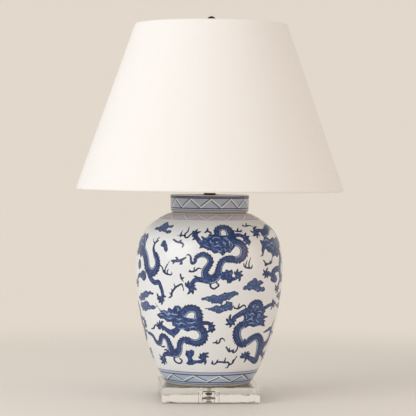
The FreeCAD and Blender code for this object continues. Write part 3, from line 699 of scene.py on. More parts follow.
def paint_turning_dragon(brush):
    """Upper ring: the head looks back under a raised neck, and the body lies in two bends."""
    brush.body([(15, 264), (15, 275), (19, 281), (26, 283.5), (33, 281.5), (37, 275), (39, 264)],
               (5.5, 5.5, 5.5, 6.0, 7.0, 8.0))
    brush.body([(37, 260), (45, 255), (53, 251), (58, 244), (58, 236), (54, 229), (46, 225.5), (37, 226),
                (28, 226)], (6.0, 6.5, 7.0, 7.0, 6.0, 5.0, 4.8))
    brush.body([(40, 227), (30, 227), (22, 223), (18, 217), (16, 210), (15, 202), (10, 195), (3, 192),
                (-4, 196), (-7, 202), (-6, 208), (-2, 214), (2, 222), (-1, 229), (-8, 233), (-15, 232),
                (-21, 228), (-22, 222)],
               (4.5, 4.5, 5.0, 5.0, 6.5, 7.0, 6.5, 5.5, 5.0, 4.5, 4.5, 3.5, 2.4), back=-1)
    brush.stroke([(-21, 223), (-24, 219), (-28, 219), (-29, 225), (-30, 230), (-33, 233), (-37, 232)],
                 2.2, 2.0, 1.8, 1.0)
    brush.patch([(-13, 263), (-8, 262), (-3, 265), (0, 270), (6, 268), (12, 271), (18, 267), (28, 267),
                 (40, 270), (46, 264), (45, 255), (43, 246), (38, 241), (34, 236), (28, 238), (22, 231),
                 (16, 237), (8, 235), (3, 240), (-4, 242), (-10, 245), (-17, 243), (-14, 250),
                 (-18, 255), (-11, 257)])
    brush.strokes([(-13, 264), (-8, 261), (0, 262)], [(-2, 242), (4, 246), (8, 244)])
    brush.strokes([(5, 260), (9, 263), (15, 263), (20, 260)], [(1, 259), (2, 255), (7, 252)],
                  [(22, 257), (26, 254), (27, 250)], [(9, 247), (14, 249), (20, 247)],
                  [(31, 262), (34, 256), (34, 249)], [(-6, 262), (-2, 265), (2, 264)],
                  [(-8, 250), (-4, 247), (1, 246)], [(24, 245), (27, 241), (28, 237)],
                  [(13, 242), (16, 239), (20, 240)], [(36, 256), (39, 251), (38, 246)],
                  [(24, 263), (28, 262), (30, 258)], layer="pale", widths=(0.5, 0.9, 0.5))
    brush.spot((13, 254.5), 1.5, layer="pale")
    brush.spot((24, 252), 0.9, layer="pale")
    brush.stroke([(-2, 248), (-10, 250), (-16, 255), (-22, 263)], 4.5, 4.0, 3.4)
    brush.foot((-24, 267), [(-30, 276), (-22, 279), (-15, 274), (-31, 266), (-29, 258)])
    brush.flame([(-28, 270), (-33, 269), (-37, 263), (-41, 262), (-44, 265), (-43, 270), (-40, 274),
                 (-40, 284)], [(-43, 266), (-50, 266), (-58, 266)], [(-51, 267), (-52, 271), (-50, 276)],
                [(-50, 266), (-53, 262)])
    brush.strokes([(-8, 272), (-4, 276), (-3, 283)], [(-4, 275), (1, 273), (5, 270)],
                  widths=(1.4, 2.0, 0.7))
    brush.stroke([(42, 265), (50, 267.5), (57, 267), (64, 263)], 4.0, 3.5, 3.5)
    brush.foot((67, 259), [(70, 272), (75, 265), (74, 253), (69, 248), (62, 250), (60, 258)], 5.0)
    brush.flame([(44, 277), (50, 275), (56, 275), (63, 273)], [(54, 275), (55, 279), (58, 283)],
                [(58, 274), (61, 276), (64, 279)])
    brush.flame([(-62, 222), (-54, 222), (-47, 223), (-38, 228)], [(-52, 222), (-53, 227), (-56, 228)],
                [(-47, 223), (-44, 218), (-48, 217)], [(-57, 222), (-60, 217)], width=2.4)
    brush.flame([(-32, 205), (-26, 205), (-21, 207), (-17, 211), (-12, 210)],
                [(-23, 206), (-24, 210), (-22, 213)], [(-29, 205), (-31, 209)])
    brush.stroke([(-2, 191), (-12, 192), (-20, 192), (-25, 188), (-29, 182)], 6.0, 4.5, 4.0, 3.5)
    brush.stroke([(-18, 192), (-20, 197), (-25, 198)], 2.2, 1.6, 0.8)
    brush.foot((-30, 178), [(-38, 187), (-32, 190), (-21, 182), (-19, 174), (-26, 167), (-35, 167)])
    brush.stroke([(2, 187), (3, 180), (8, 177), (13, 180), (16, 183), (12, 187)], 1.8, 1.5, 1.3)
    brush.patch([(17, 196), (19, 206), (25, 205), (27, 210), (33, 207), (37, 210), (39, 203), (36, 197),
                 (39, 191), (35, 186), (29, 186), (28, 192), (22, 191)])
    brush.stroke([(36, 195), (40, 193), (44, 195)], 3.0, 2.6, 3.0)
    brush.foot((48, 199), [(41, 206), (47, 210), (55, 206), (56, 198), (49, 189)], 5.0)
    brush.flame([(57, 219), (59, 213), (66, 211), (72, 211), (73, 217)], [(60, 213), (62, 219), (64, 226)],
                [(67, 211), (67, 219), (71, 229)])
    brush.flame([(-64, 258), (-56, 254), (-49, 253), (-44, 250), (-45, 245)], [(-52, 254), (-48, 258)],
                width=1.9)
    brush.flame([(-62, 163), (-61, 170), (-55, 178), (-50, 181), (-44, 184), (-42, 178), (-41, 173)],
                [(-54, 178), (-57, 181), (-57, 186)], [(-60, 171), (-64, 176)])
    brush.strokes([(-46, 200), (-45, 194), (-41, 188)], [(-44, 193), (-40, 195)])


def paint_rising_dragon(brush):
    """Upper ring: the body falls from the head to one deep bend, with the tail curled up."""
    brush.patch([(-128, 238), (-131, 250), (-129, 261), (-138, 268), (-146, 263), (-153, 269),
                 (-160, 262), (-170, 259), (-172, 248), (-165, 241), (-172, 232), (-160, 226),
                 (-150, 230), (-142, 223), (-134, 230)])
    brush.strokes([(-160, 255), (-153, 258), (-146, 254)], [(-150, 246), (-144, 248), (-138, 244)],
                  [(-142, 258), (-136, 255), (-134, 248)], layer="pale", widths=(0.7, 1.0, 0.7))
    brush.body([(-140, 242), (-129, 233), (-123, 226), (-119, 218), (-117, 210), (-112, 204), (-105, 201),
                (-98, 203), (-92.5, 209), (-91, 216), (-93, 224), (-97, 230)],
               (7.0, 7.5, 8.0, 8.0, 7.0, 6.5, 5.5, 5.0), back=-1)
    brush.stroke([(-95, 227), (-101, 235), (-104, 242), (-103, 249), (-99, 253), (-95, 255)],
                 4.6, 3.4, 2.8, 2.0, 1.0)
    brush.strokes([(-103, 249), (-108, 254), (-110, 259)], [(-100, 253), (-99, 258), (-95, 261)],
                  widths=(1.6, 1.3, 0.7))
    brush.stroke([(-114, 205), (-110, 196), (-104, 188), (-96, 184), (-88, 185), (-84, 178), (-81, 170),
                  (-80, 163)], 6.0, 5.5, 4.5, 4.2, 3.6, 3.2)
    brush.foot((-84, 158), [(-93, 167), (-94, 158), (-91, 151), (-85, 147), (-73, 161), (-78, 153)], 4.0)
    brush.patch([(-140, 196), (-131, 203), (-122, 200), (-119, 192), (-126, 185), (-135, 188)], soft=True)
    brush.stroke([(-134, 193), (-144, 194), (-152, 190), (-157, 184)], 4.5, 3.5, 3.0)
    brush.foot((-159, 181), [(-168, 188), (-170, 180), (-164, 172), (-155, 172), (-150, 180)])
    brush.patch([(-150, 206), (-152, 214), (-147, 221), (-140, 218), (-138, 209), (-144, 204)], soft=True)
    brush.flame([(-86, 215), (-80, 210), (-78, 204), (-74, 201), (-68, 199), (-62, 199), (-62, 204)],
                [(-75, 202), (-74, 208), (-71, 214), (-66, 221)], [(-70, 200), (-70, 205), (-67, 208)])
    brush.patch([(-89, 246), (-85, 256), (-80, 256), (-74, 248), (-71, 240), (-74, 235), (-79, 239),
                 (-81, 244)])
    brush.flame([(-68, 160), (-63, 163), (-62, 170), (-56, 175)], [(-63, 165), (-67, 169)])
    brush.cloud([(-125, 276), (-115, 281), (-108, 290), (-99, 294), (-93, 289), (-84, 286), (-76, 284),
                 (-86, 279), (-94, 275), (-80, 275), (-73, 272), (-82, 269), (-100, 273)])


def paint_reaching_dragon(brush):
    """Upper ring: one arm reaches forward over a shaggy head, and the body drops behind."""
    brush.foot((92, 272), [(107, 285), (98, 283), (82, 277), (83, 266), (91, 261), (100, 264)], 4.2)
    brush.stroke([(94, 273), (104, 276), (115, 275), (127, 271)], 3.6, 4.2, 5.0)
    brush.body([(112, 268), (125, 272), (136, 277), (148, 281), (160, 282), (172, 277), (177, 266),
                (172, 255)], (6.0, 6.5, 6.0, 5.5, 5.5, 6.0, 7.0))
    brush.patch([(95, 259), (104, 256), (110, 263), (120, 262), (126, 258), (140, 262), (150, 258),
                 (158, 263), (168, 257), (170, 244), (158, 240), (152, 232), (142, 226), (132, 230),
                 (124, 227), (120, 235), (112, 236), (106, 243), (101, 238), (97, 229), (95, 240),
                 (98, 248)])
    brush.stroke([(100, 242), (98, 234), (91, 229)], 2.2, 1.3, 0.6)
    brush.strokes([(108, 256), (114, 258), (119, 254)], [(124, 250), (131, 252), (137, 247)],
                  [(112, 247), (118, 249), (123, 244)], [(140, 255), (147, 251), (149, 243)],
                  layer="pale", widths=(0.7, 1.0, 0.7))
    brush.spot((129, 243), 1.4, layer="pale")
    brush.flame([(98, 223), (104, 217), (112, 217), (119, 219), (122, 227)],
                [(103, 218), (101, 215), (106, 213)], [(117, 218), (114, 223)], width=1.8)
    brush.body([(152, 240), (158, 231), (157, 222), (153, 212), (153, 203), (158, 194), (168, 190),
                (177, 195), (180, 205), (176, 214), (179, 224), (188, 228)],
               (6.5, 6.5, 6.0, 6.0, 6.5, 7.0, 6.0, 5.0, 4.4, 3.4, 2.4), back=-1)
    brush.stroke([(187, 228), (195, 224), (201, 229), (198, 237)], 2.4, 2.0, 1.0)
    brush.stroke([(152, 205), (142, 207), (132, 206), (124, 202)], 6.0, 5.0, 6.0)
    brush.stroke([(124, 202), (116, 198), (110, 202)], 4.5, 3.4, 3.0)
    brush.foot((104, 202), [(97, 208), (94, 200), (99, 193), (107, 192), (109, 210)])
    brush.patch([(116, 190), (122, 198), (133, 197), (140, 189), (134, 184), (124, 185)], soft=True)
    brush.stroke([(160, 192), (152, 184), (146, 178)], 5.0, 4.0, 3.2)
    brush.foot((143, 175), [(133, 181), (132, 173), (138, 166), (146, 165), (153, 171)])
    brush.flame([(70, 287), (78, 286), (87, 288), (97, 285)], [(79, 286), (81, 290), (86, 295)],
                [(74, 287), (71, 291)])
    brush.flame([(168, 214), (164, 220), (170, 228)], [(166, 219), (161, 223)])


def paint_striding_dragon(brush):
    """Lower ring: the head faces left under an arched neck, and the body ends in a long tail."""
    brush.body([(-47, 130), (-42, 136), (-36, 141), (-28, 143), (-20, 140.5), (-17, 134), (-18, 124)],
               (6.5, 7.0, 6.5, 6.0, 6.0, 6.5, 7.5))
    brush.patch([(-99, 129), (-91, 133), (-84, 131), (-88, 137), (-79, 139), (-74, 136), (-70, 144),
                 (-63, 140), (-58, 147), (-51, 148), (-45, 144), (-50, 139), (-52, 134), (-44, 131),
                 (-38, 128), (-26, 127), (-15, 127), (-11, 120), (-12, 110), (-18, 104), (-28, 106),
                 (-38, 103), (-46, 107), (-56, 104), (-60, 111), (-66, 112), (-66, 119), (-76, 118),
                 (-82, 123), (-91, 123)])
    brush.strokes([(-86, 134), (-80, 135), (-75, 131), (-68, 128)], [(-78, 126), (-70, 124), (-64, 127)],
                  [(-64, 136), (-60, 132), (-53, 132)], [(-58, 126), (-52, 124), (-45, 125)],
                  [(-62, 119), (-54, 116), (-46, 118), (-38, 114)], [(-40, 121), (-32, 118), (-22, 121)],
                  [(-92, 129), (-86, 130), (-82, 128)], [(-74, 136), (-68, 133), (-62, 131)],
                  [(-55, 144), (-51, 141), (-54, 138)], [(-56, 110), (-50, 107), (-42, 109)],
                  [(-34, 110), (-27, 112), (-20, 110)], [(-46, 133), (-40, 129), (-30, 127), (-20, 127)],
                  layer="pale", widths=(0.5, 1.0, 0.5))
    brush.spot((-71, 132.5), 1.5, layer="pale")
    brush.stroke([(-86, 133), (-91, 140), (-95, 145), (-99, 149)], 1.2, 0.9, 0.6)
    brush.bare([(-37, 130), (-33, 134), (-28, 137), (-25, 134), (-29, 131)])
    brush.stroke([(-16, 120), (-8, 119), (-1, 119), (4, 115)], 4.5, 3.4, 3.4)
    brush.foot((5, 110), [(8, 121), (12, 115), (12, 106), (6, 102), (-3, 104)], 5.2)
    brush.body([(-16, 110), (-10, 103), (-9, 94), (-14, 87), (-23, 84), (-32, 86), (-40, 87.5)],
               (7.0, 7.0, 6.5, 6.0, 5.5, 5.5))
    brush.body([(-30, 86), (-42, 88.5), (-50, 86), (-55, 79), (-57, 71), (-63, 64), (-70, 62), (-77, 67),
                (-79, 76), (-81, 85), (-86, 91), (-93, 92), (-98, 87), (-103, 80), (-110, 78),
                (-117, 82), (-121, 89), (-128, 93), (-138, 94), (-146, 98), (-154, 96)],
               (5.0, 5.0, 4.8, 5.0, 6.5, 7.5, 6.5, 5.0, 4.6, 4.6, 4.4, 4.0, 3.4, 2.8, 2.0, 1.0), back=-1)
    brush.stroke([(-56, 107), (-62, 102), (-70, 100), (-78, 103), (-86, 108)], 5.0, 6.0, 4.6, 3.6)
    brush.patch([(-58, 101), (-66, 90), (-74, 99)])
    brush.foot((-91, 111), [(-84, 119), (-93, 120), (-101, 117), (-106, 112), (-101, 105), (-90, 102)])
    brush.flame([(-122, 103), (-113, 105), (-108, 110), (-104, 113)], [(-112, 105), (-112, 110)])
    brush.stroke([(-72, 62), (-84, 61), (-95, 60), (-103, 56)], 6.5, 5.0, 4.0, 3.4)
    brush.stroke([(-84, 63), (-90, 68), (-97, 67)], 2.2, 1.6, 0.8)
    brush.foot((-108, 51), [(-117, 58), (-122, 50), (-122, 41), (-112, 38), (-101, 41), (-98, 49)], 4.0)
    brush.stroke([(-103, 74), (-97, 73), (-91, 74)], 1.2, 1.5, 1.0)
    brush.stroke([(-72, 58), (-75, 50), (-69, 45), (-61, 45), (-56, 50), (-61, 54)], 2.0, 1.6, 1.4)
    brush.patch([(-47, 61), (-44, 70), (-37, 69), (-33, 72), (-27, 69), (-28, 62), (-33, 57), (-31, 52),
                 (-22, 52), (-15, 53), (-10, 56), (-6, 50), (-14, 46), (-26, 46), (-32, 43), (-42, 42),
                 (-48, 45), (-42, 51), (-43, 57)])
    brush.foot((-9, 58), [(-20, 59), (-16, 65), (-8, 67), (2, 66), (1, 58), (-7, 44)], 4.6)


def paint_climbing_dragon(brush):
    """Lower ring: a coiled neck over a shaggy head, and a body that climbs down in one wide bend."""
    brush.flame([(43, 145), (49, 143), (55, 146), (60, 149), (64, 146), (64, 141)],
                [(50, 144), (51, 149), (53, 153)], [(44, 144), (41, 149)])
    brush.patch([(74, 139), (76, 147), (86, 150), (94, 147), (96, 139)], tone=1.0, soft=True)
    brush.body([(73, 134), (73, 145), (79, 151), (87, 152.5), (95, 149), (98, 142), (98, 132)],
               (5.0, 4.6, 4.4, 4.6, 5.0, 6.0))
    brush.stroke([(66, 138), (59, 136), (51, 132), (44, 128)], 6.0, 5.0, 4.6, 4.0)
    brush.foot((39, 121), [(38, 134), (30, 127), (29, 117), (37, 111), (46, 114), (49, 122)], 5.2)
    brush.patch([(62, 139), (70, 141), (80, 138), (92, 140), (104, 140), (112, 137), (106, 131),
                 (118, 126), (108, 122), (116, 113), (106, 113), (97, 112), (86, 110), (76, 113),
                 (68, 109), (62, 113), (60, 119), (63, 126), (61, 132)])
    brush.strokes([(72, 131), (78, 134), (85, 131)], [(90, 133), (97, 131), (100, 125)],
                  [(70, 122), (77, 125), (84, 121)], [(88, 124), (93, 120), (99, 118)],
                  [(74, 116), (80, 118), (87, 115)], [(78, 144), (80, 147), (82, 144)],
                  [(86, 143), (89, 146), (91, 143)], [(66, 134), (68, 129), (67, 124)],
                  [(92, 137), (98, 137), (104, 134)], layer="pale", widths=(0.5, 1.0, 0.5))
    brush.spot((93, 128), 1.4, layer="pale")
    brush.spot((79.5, 128), 1.2, layer="pale")
    brush.stroke([(100, 140), (110, 143), (119, 146), (127, 147)], 4.0, 3.4, 3.0)
    brush.foot((131, 147), [(131, 157), (138, 153), (148, 145), (140, 139), (127, 138)], 3.4)
    brush.strokes([(103, 128), (112, 127), (122, 126)], [(104, 114), (111, 112), (118, 110)],
                  [(102, 121), (110, 120), (117, 119)], widths=(2.2, 1.8, 0.7))
    brush.body([(70, 117), (60, 114), (54, 108), (53, 99), (56, 91), (62, 84), (70, 82), (79, 84.5)],
               (6.0, 6.5, 7.0, 7.0, 7.0, 6.5, 6.5), back=-1)
    brush.body([(69, 82), (78, 84), (86, 88), (94, 91.5), (102, 91.5), (109, 87), (115, 80), (118, 70),
                (119, 60), (118, 50)], (6.5, 6.5, 6.5, 6.0, 6.5, 8.0, 9.5, 9.0, 8.0, 7.0))
    brush.patch([(114, 84), (124, 82), (134, 78), (138, 68), (132, 58), (120, 56)], soft=True)
    brush.stroke([(128, 66), (138, 58), (146, 55)], 5.0, 4.0, 3.2)
    brush.foot((150, 53), [(147, 64), (154, 64), (160, 57), (158, 47), (149, 44)])
    brush.body([(122, 76), (133, 75), (143, 79), (149, 88), (148, 99), (150, 110), (155, 120)],
               (6.0, 6.0, 5.5, 4.6, 3.6, 2.4, 1.0))
    brush.strokes([(148, 103), (138, 104), (127, 101), (116, 99)], widths=(4.0, 3.4, 2.4, 0.8))
    brush.flame([(34, 77), (38, 72), (42, 68), (47, 70), (51, 66), (56, 69), (58, 75), (57, 82)],
                [(41, 69), (42, 76)], [(50, 67), (50, 73)], width=1.7)
    brush.stroke([(122, 48), (113, 48), (103, 51), (94, 54), (88, 57)], 7.0, 5.4, 4.4, 3.6)
    brush.foot((82, 58.5), [(67, 59), (70, 65), (78, 67.5), (87, 67), (93, 62), (82, 46)], 5.0)
    brush.flame([(7, 47), (13, 45), (20, 49), (28, 49), (36, 48), (43, 48), (47, 44), (53, 46),
                 (56, 52), (60, 59)], [(9, 46), (9, 52)], [(18, 48), (20, 54)], [(34, 48), (36, 57)],
                [(46, 45), (43, 38), (38, 38)], [(53, 47), (53, 54)], width=1.7)
    brush.flame([(9, 84), (13, 85), (17, 83), (21, 86), (22, 91), (27, 92), (31, 87)], [(15, 84), (16, 90)])


def paint_cloud_pair(brush):
    """Two drawn-out clouds between the rings of dragons."""
    brush.cloud([(-11, 160), (-2, 164), (10, 166), (20, 168), (30, 171), (40, 172), (47, 170), (48, 166),
                 (40, 165), (36, 161), (28, 160), (22, 155), (15, 152), (7, 153), (3, 157)])
    brush.cloud([(-5, 144), (5, 147), (15, 148), (25, 150), (32, 155), (38, 152), (40, 147), (37, 142),
                 (30, 141), (24, 137), (15, 137), (9, 140), (0, 142)])


def paint_drifting_clouds(brush):
    """Two flatter clouds, on the lower ring's other gaps."""
    brush.cloud([(-157, 154), (-146, 161), (-133, 165), (-118, 168), (-104, 167), (-102, 163), (-114, 161),
                 (-124, 157), (-133, 152), (-146, 151)])
    brush.cloud([(-157, 142), (-144, 147), (-132, 149), (-124, 151), (-116, 146), (-106, 145), (-97, 143),
                 (-103, 139), (-118, 139), (-128, 134), (-141, 134), (-146, 138)])


def paint_shoulder_cloud(brush):
    brush.cloud([(58, 176), (64, 183), (70, 190), (77, 193), (84, 190), (92, 189), (97, 185), (89, 180),
                 (100, 176), (101, 172), (92, 171), (76, 174)])


def paint_jar_side(ups, radii):
    """All the brushwork: two rings of dragons with clouds between them."""
    painting = Painting(JAR_COLUMNS, ups, radii)
    round_jar = 2 * math.pi * GIRTH
    for half in (0, 1):
        for paint in (paint_turning_dragon, paint_shoulder_cloud, paint_rising_dragon,
                      paint_reaching_dragon):
            paint(Brush(painting, half * round_jar / 2))
    for paint, fifth in (
            (paint_striding_dragon, 0), (paint_striding_dragon, 2), (paint_climbing_dragon, 0),
            (paint_climbing_dragon, 2), (paint_striding_dragon, -1), (paint_cloud_pair, 0),
            (paint_cloud_pair, 1), (paint_drifting_clouds, 3), (paint_cloud_pair, 3),
            (paint_drifting_clouds, 5)):
        paint(Brush(painting, fifth * round_jar / 5))
    return painting


# ---------------------------------------------------------------- ceramic finishes

def hatch(turn, up, count, slant):
    """Fine slanting brush lines round the lamp."""
    return (turn * (count / (2 * math.pi)) + up * slant).zigzag(0.5).step(0.1, 0.3)


def border(finish, up, edges, bars, peak, ground, settings, aside=0.0, above=0.0, dark=0.85):
    """A zigzag of pale bars on a hatched ground, with a dark one beside or above it, in millimetres."""
    low, high = edges
    turn = finish.turn()

    def away(start, rise):
        wave = ((turn - start) * (bars / math.pi)).zigzag(1.0)
        return (up - (wave * (low - high) + (high + rise))) * BAR_LEAN

    lines = bars * HATCHES_PER_BAR
    hatched = hatch(turn, up, lines, HATCH_SLANT).least(hatch(turn, up, lines, -HATCH_SLANT))
    return finish.over(
        finish.mix(hatched, tinted(ground, 0.62), ground),
        (away(peak + aside, above).line(*DARK_BAR) * dark, settings.line),
        (away(peak, 0.0).line(*PALE_BAR), settings.ground))


def drawn_round(up, lines):
    """Lines round the lamp: the height, half width, softness and strength of each."""
    return functools.reduce(Field.most, [
        up.line(height, half_width, softness) * strength
        for height, half_width, softness, strength in lines])


def fire(finish, settings, painted, glazed, clay_tints, ripple):
    """Shiny glaze over what is painted, and bare clay where glazed is 0."""
    grain = finish.noise(900.0, 4.0, 0.6)
    clay = finish.mix(grain, *(tinted(settings.clay, tint) for tint in clay_tints))
    finish.set("Base Color", finish.mix(glazed, clay, painted))
    finish.set("Roughness", glazed * -0.55 + 0.78)
    return finish.bump(finish.noise(ripple, 2.0) * 0.7 + grain * (glazed * -0.3 + 0.3), 0.25, 1.0 * MM)


def jar_finish(settings):
    """White glaze with cobalt brushwork, borders at foot and shoulder, and a bare clay foot."""
    finish = Finish("blue_and_white_jar", IOR=GLAZE_IOR)
    up, ink, tone, body, run, back, pale = (
        finish.value(name) for name in ("up", "ink", "tone", "body", "run", "back", "pale"))
    wobble = (finish.noise(420.0, 2.0) - 0.5) * 1.1
    pooling = finish.noise(130.0, 3.0, 0.6)
    brushy = finish.noise(34.0, 3.0, 0.6)

    half = (back.size() - ink).most(0.6)
    across = back / half
    spine = (run / SPINE_PITCH).maths("FRACT") * (half * 0.4).least(SPINE_HEIGHT)
    lobes = (finish.cells(125.0) * 5.2 - 3.2) * tone
    edge = ink + wobble + lobes - spine * across.step(0.2, 0.5) * body

    curls = finish.cells(215.0)
    scales = finish.cells(1.0, finish.point(run * SCALES_PER_MM, back * SCALES_PER_MM, 0.0))
    pattern = curls + (scales - curls) * body
    wide = half.step(2.6, 4.2) * body
    rungs = (run / RUNG_PITCH).maths("FRACT").line(0.5, 0.14, 0.1)
    fill = finish.mix(brushy, tinted(settings.fill, 0.7), tinted(settings.fill, 1.3))
    blue = finish.over(
        finish.mix(tone, fill, settings.cloud),
        (pattern.step(0.2, 0.7) * (tone * -0.25 + 0.72), settings.line),
        ((pattern + pooling * 0.25).fall(0.2, 0.36) * (tone * 0.4 + 0.35), settings.wash),
        (across.step(0.3, 0.8) * wide * 0.55, settings.line),
        (across.fall(-0.62, -0.5) * wide * 0.9, finish.mix(rungs * 0.8, settings.wash, settings.line)),
        (across.line(-0.48, 0.06, 0.05) * wide, settings.line),
        (edge.step(-1.5, -0.6), settings.line),
        (pale.fall(-0.3, 0.4) * 0.8, settings.wash))

    painted = finish.over(
        finish.mix(brushy * 0.4, settings.ground, tinted(settings.ground, 0.94)),
        (edge.fall(-0.35, 0.35), blue),
        (up.line(*FOOT_BAND), border(
            finish, up, FOOT_BORDER, 12, 0.225, settings.foot_band, settings, aside=0.055)),
        # The shoulder border's ground carries painted light: it is lighter and pinker than the foot
        # border's.
        (up.line(*SHOULDER_BAND), border(
            finish, up, SHOULDER_BORDER, 16, 0.15, settings.shoulder_band_with_painted_light, settings, above=2.8, dark=0.3)),
        (up.line(26.0, 2.4, 0.4).most(up.line(4.4, 2.8, 0.4)), tinted(settings.foot_band, 0.72)),
        (drawn_round(up + wobble * 0.4, JAR_LINES) * 0.9, settings.line))
    return fire(finish, settings, painted, (up + wobble * 0.5).step(0.6, 1.1), (0.82, 1.12), 26.0)


def lid_finish(settings, bottom):
    """White glaze with a zigzag border round its side; the lower rim and the inside are bare clay."""
    finish = Finish("blue_and_white_lid", IOR=GLAZE_IOR)
    up = (finish.axes[2] - bottom) / MM
    shaky = up + (finish.noise(420.0, 2.0) - 0.5) * 0.5
    lines = drawn_round(shaky, LID_SHAKY_LINES).most(drawn_round(up, LID_EVEN_LINES))
    painted = finish.over(
        finish.mix(finish.noise(130.0, 3.0, 0.6) * 0.5, settings.ground, tinted(settings.ground, 0.93)),
        # The lid border's ground carries painted shade: it is a little greyer than the foot border's.
        (up.line(*LID_BAND), border(
            finish, up, LID_BORDER, 12, 0.045, settings.lid_band_with_painted_shade, settings, aside=-0.05)),
        (lines * (finish.radius() / MM).step(64.6, 64.9), settings.line))
    return fire(finish, settings, painted, finish.value("glazed") * up.step(1.9, 2.2), (0.8, 1.1), 30.0)


# ---------------------------------------------------------------- other finishes

def metal_finish(name, base, roughness, wear=0.15):
    """Plated or rubbed metal with uneven polish."""
    finish = Finish(name, Metallic=1.0)
    cloudy = finish.noise(160.0, 4.0, 0.6)
    finish.vary(cloudy, base, 1 - wear, 1 + wear, 0.16, roughness - 0.08)
    return finish.bump(finish.noise(1440.0, 2.0) * 0.6 + cloudy * 0.4, 0.12, 0.4 * MM)


def plastic_finish(name, base, roughness, grain=700.0):
    finish = Finish(name)
    finish.vary(finish.noise(90.0), base, 0.88, 1.12, 0.12, roughness - 0.06)
    return finish.bump(finish.noise(grain, 3.0, 0.6), 0.15, 0.3 * MM)


def acrylic_finish():
    finish = Finish("clear_acrylic", IOR=ACRYLIC_IOR, Transmission_Weight=1.0)
    finish.vary(finish.noise(60.0, 3.0, 0.6), ACRYLIC_TINT, 0.992, 1.0, 0.02, 0.0)
    return finish


def board_finish(name, base):
    """Pressed fibre board."""
    finish = Finish(name)
    x, y, z = finish.axes
    fibres = finish.noise(260.0, 4.0, 0.7, finish.point(x, y, z * 6.0))
    finish.vary(fibres, base, 0.75, 1.2, 0.1, 0.8)
    return finish.bump(fibres, 0.3, 0.3 * MM)


def cloth_finish(name, base):
    """Fine plain weave with slubbed threads."""
    finish = Finish(name, Sheen_Weight=0.15, Sheen_Roughness=0.6)
    turn = finish.turn()
    height = finish.axes[2]
    warp_slub = finish.noise(1.0, 4.0, 0.6, finish.point(turn * 60.0, height * 6.0, 0.0))
    weft_slub = finish.noise(1.0, 4.0, 0.6, finish.point(turn * 2.0, height * 420.0, 3.0))
    slub = warp_slub * 0.6 + weft_slub * 0.4
    warp = (turn * (WARP_THREADS / (2 * math.pi))).zigzag(0.5)
    weft = (height / WEFT_PITCH).zigzag(0.5)
    finish.vary(slub, base, 0.955, 1.02, 0.1, 0.8)
    return finish.bump(warp.most(weft) * 0.5 + slub * 0.9, 0.28, 0.3 * MM)


# ---------------------------------------------------------------- jar and lid

class Maker:
    """What all the steps of the making share."""
    bl_options = {"REGISTER", "UNDO"}


class JARLAMP_OT_jar(Maker, bpy.types.Operator):
    """Turn the jar and paint it"""
    bl_idname = "jarlamp.jar"
    bl_label = "Jar"

    def execute(self, context):
        outline, outside = jar_outline()
        finish = jar_finish(context.scene.jar_lamp.ceramic)
        piece = new_piece("jar_painted", *turned(outline, JAR_COLUMNS, FRONT - math.pi), "lamp_base",
                          "blue_and_white_glaze", finish, ("jar_body",), sharp=GLAZE_CREASE)
        side = outline[outside] / MM
        ups = lengths_along(side)
        painting = paint_jar_side(ups, side[:, 0])
        for fields, elsewhere in (
                (painting.layers, FAR), (painting.notes, 0.0), ({"up": ups[:, None]}, -1.0)):
            for name, field in fields.items():
                store(piece.data, name, JAR_COLUMNS, outside, field, elsewhere)
        bake_layout(piece.data, outline, outside)
        low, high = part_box("cord_bushing")
        bore(piece, INLET_RADIUS, high.y - low.y + 2 * INLET_SPARE, INLET_SIDES,
             Matrix.Translation((low + high) / 2) @ Matrix.Rotation(math.pi / 2, 4, "X"))
        return {"FINISHED"}


def jar_outline():
    """The jar's closed outline as (radius, height), and which of its rows are the painted side."""
    low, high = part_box("jar_body")
    foot, top, belly = low.z, high.z, high.x

    def lower(foot_radius, foot_height, belly_radius):
        rise = JAR_BELLY_HEIGHT - foot_height
        flare = JAR_FOOT_FLARE_SHARE * rise
        return pole_curve([
            (foot_radius, foot + foot_height),
            (foot_radius + flare * math.tan(JAR_FOOT_FLARE), foot + foot_height + flare),
            (belly_radius, foot + JAR_BELLY_HEIGHT - JAR_BELLY_FALL_SHARE * rise),
            (belly_radius, foot + JAR_BELLY_HEIGHT)])

    def upper(belly_radius, collar_radius, shoulder_height):
        rise = shoulder_height - JAR_BELLY_HEIGHT
        reach = belly_radius - collar_radius
        girth_level = foot + JAR_BELLY_HEIGHT
        return pole_curve([
            (belly_radius, girth_level),
            (belly_radius, girth_level + JAR_BELLY_RISE_SHARE * rise),
            (belly_radius - JAR_ROUND_REACH * reach, girth_level + JAR_ROUND_RISE * rise),
            (collar_radius + JAR_FLAT_SHARE * reach, girth_level + rise),
            (collar_radius, girth_level + rise)])

    side = respaced(np.vstack([
        lower(JAR_FOOT_RADIUS, JAR_FOOT_BEVEL, belly),
        upper(belly, NECK_RADIUS, JAR_SHOULDER_HEIGHT)[1:]]), JAR_ROWS)
    inner_foot = JAR_FOOT_RADIUS - JAR_WALL + JAR_FLOOR * math.tan(JAR_FOOT_FLARE)
    neck_inside = NECK_RADIUS - NECK_WALL
    inside = respaced(np.vstack([
        upper(belly - JAR_WALL, neck_inside, JAR_SHOULDER_HEIGHT - JAR_WALL)[::-1],
        lower(inner_foot, JAR_FLOOR, belly - JAR_WALL)[-2::-1]]), JAR_INSIDE_ROWS)
    foot_inside = JAR_FOOT_RADIUS - JAR_FOOT_RING
    below = [
        (PIPE_HOLE, foot + JAR_FOOT_RECESS),
        (foot_inside - JAR_FOOT_RECESS / 2, foot + JAR_FOOT_RECESS),
        (foot_inside, foot),
        (JAR_FOOT_RADIUS - JAR_FOOT_BEVEL, foot)]
    neck = [
        (NECK_RADIUS, top - NECK_EDGE),
        (NECK_RADIUS - NECK_EDGE, top),
        (neck_inside + NECK_EDGE, top),
        (neck_inside, top - NECK_EDGE)]
    outline = np.vstack([below, side, neck, inside, [(PIPE_HOLE, foot + JAR_FLOOR)]])
    return outline, slice(len(below), len(below) + JAR_ROWS)


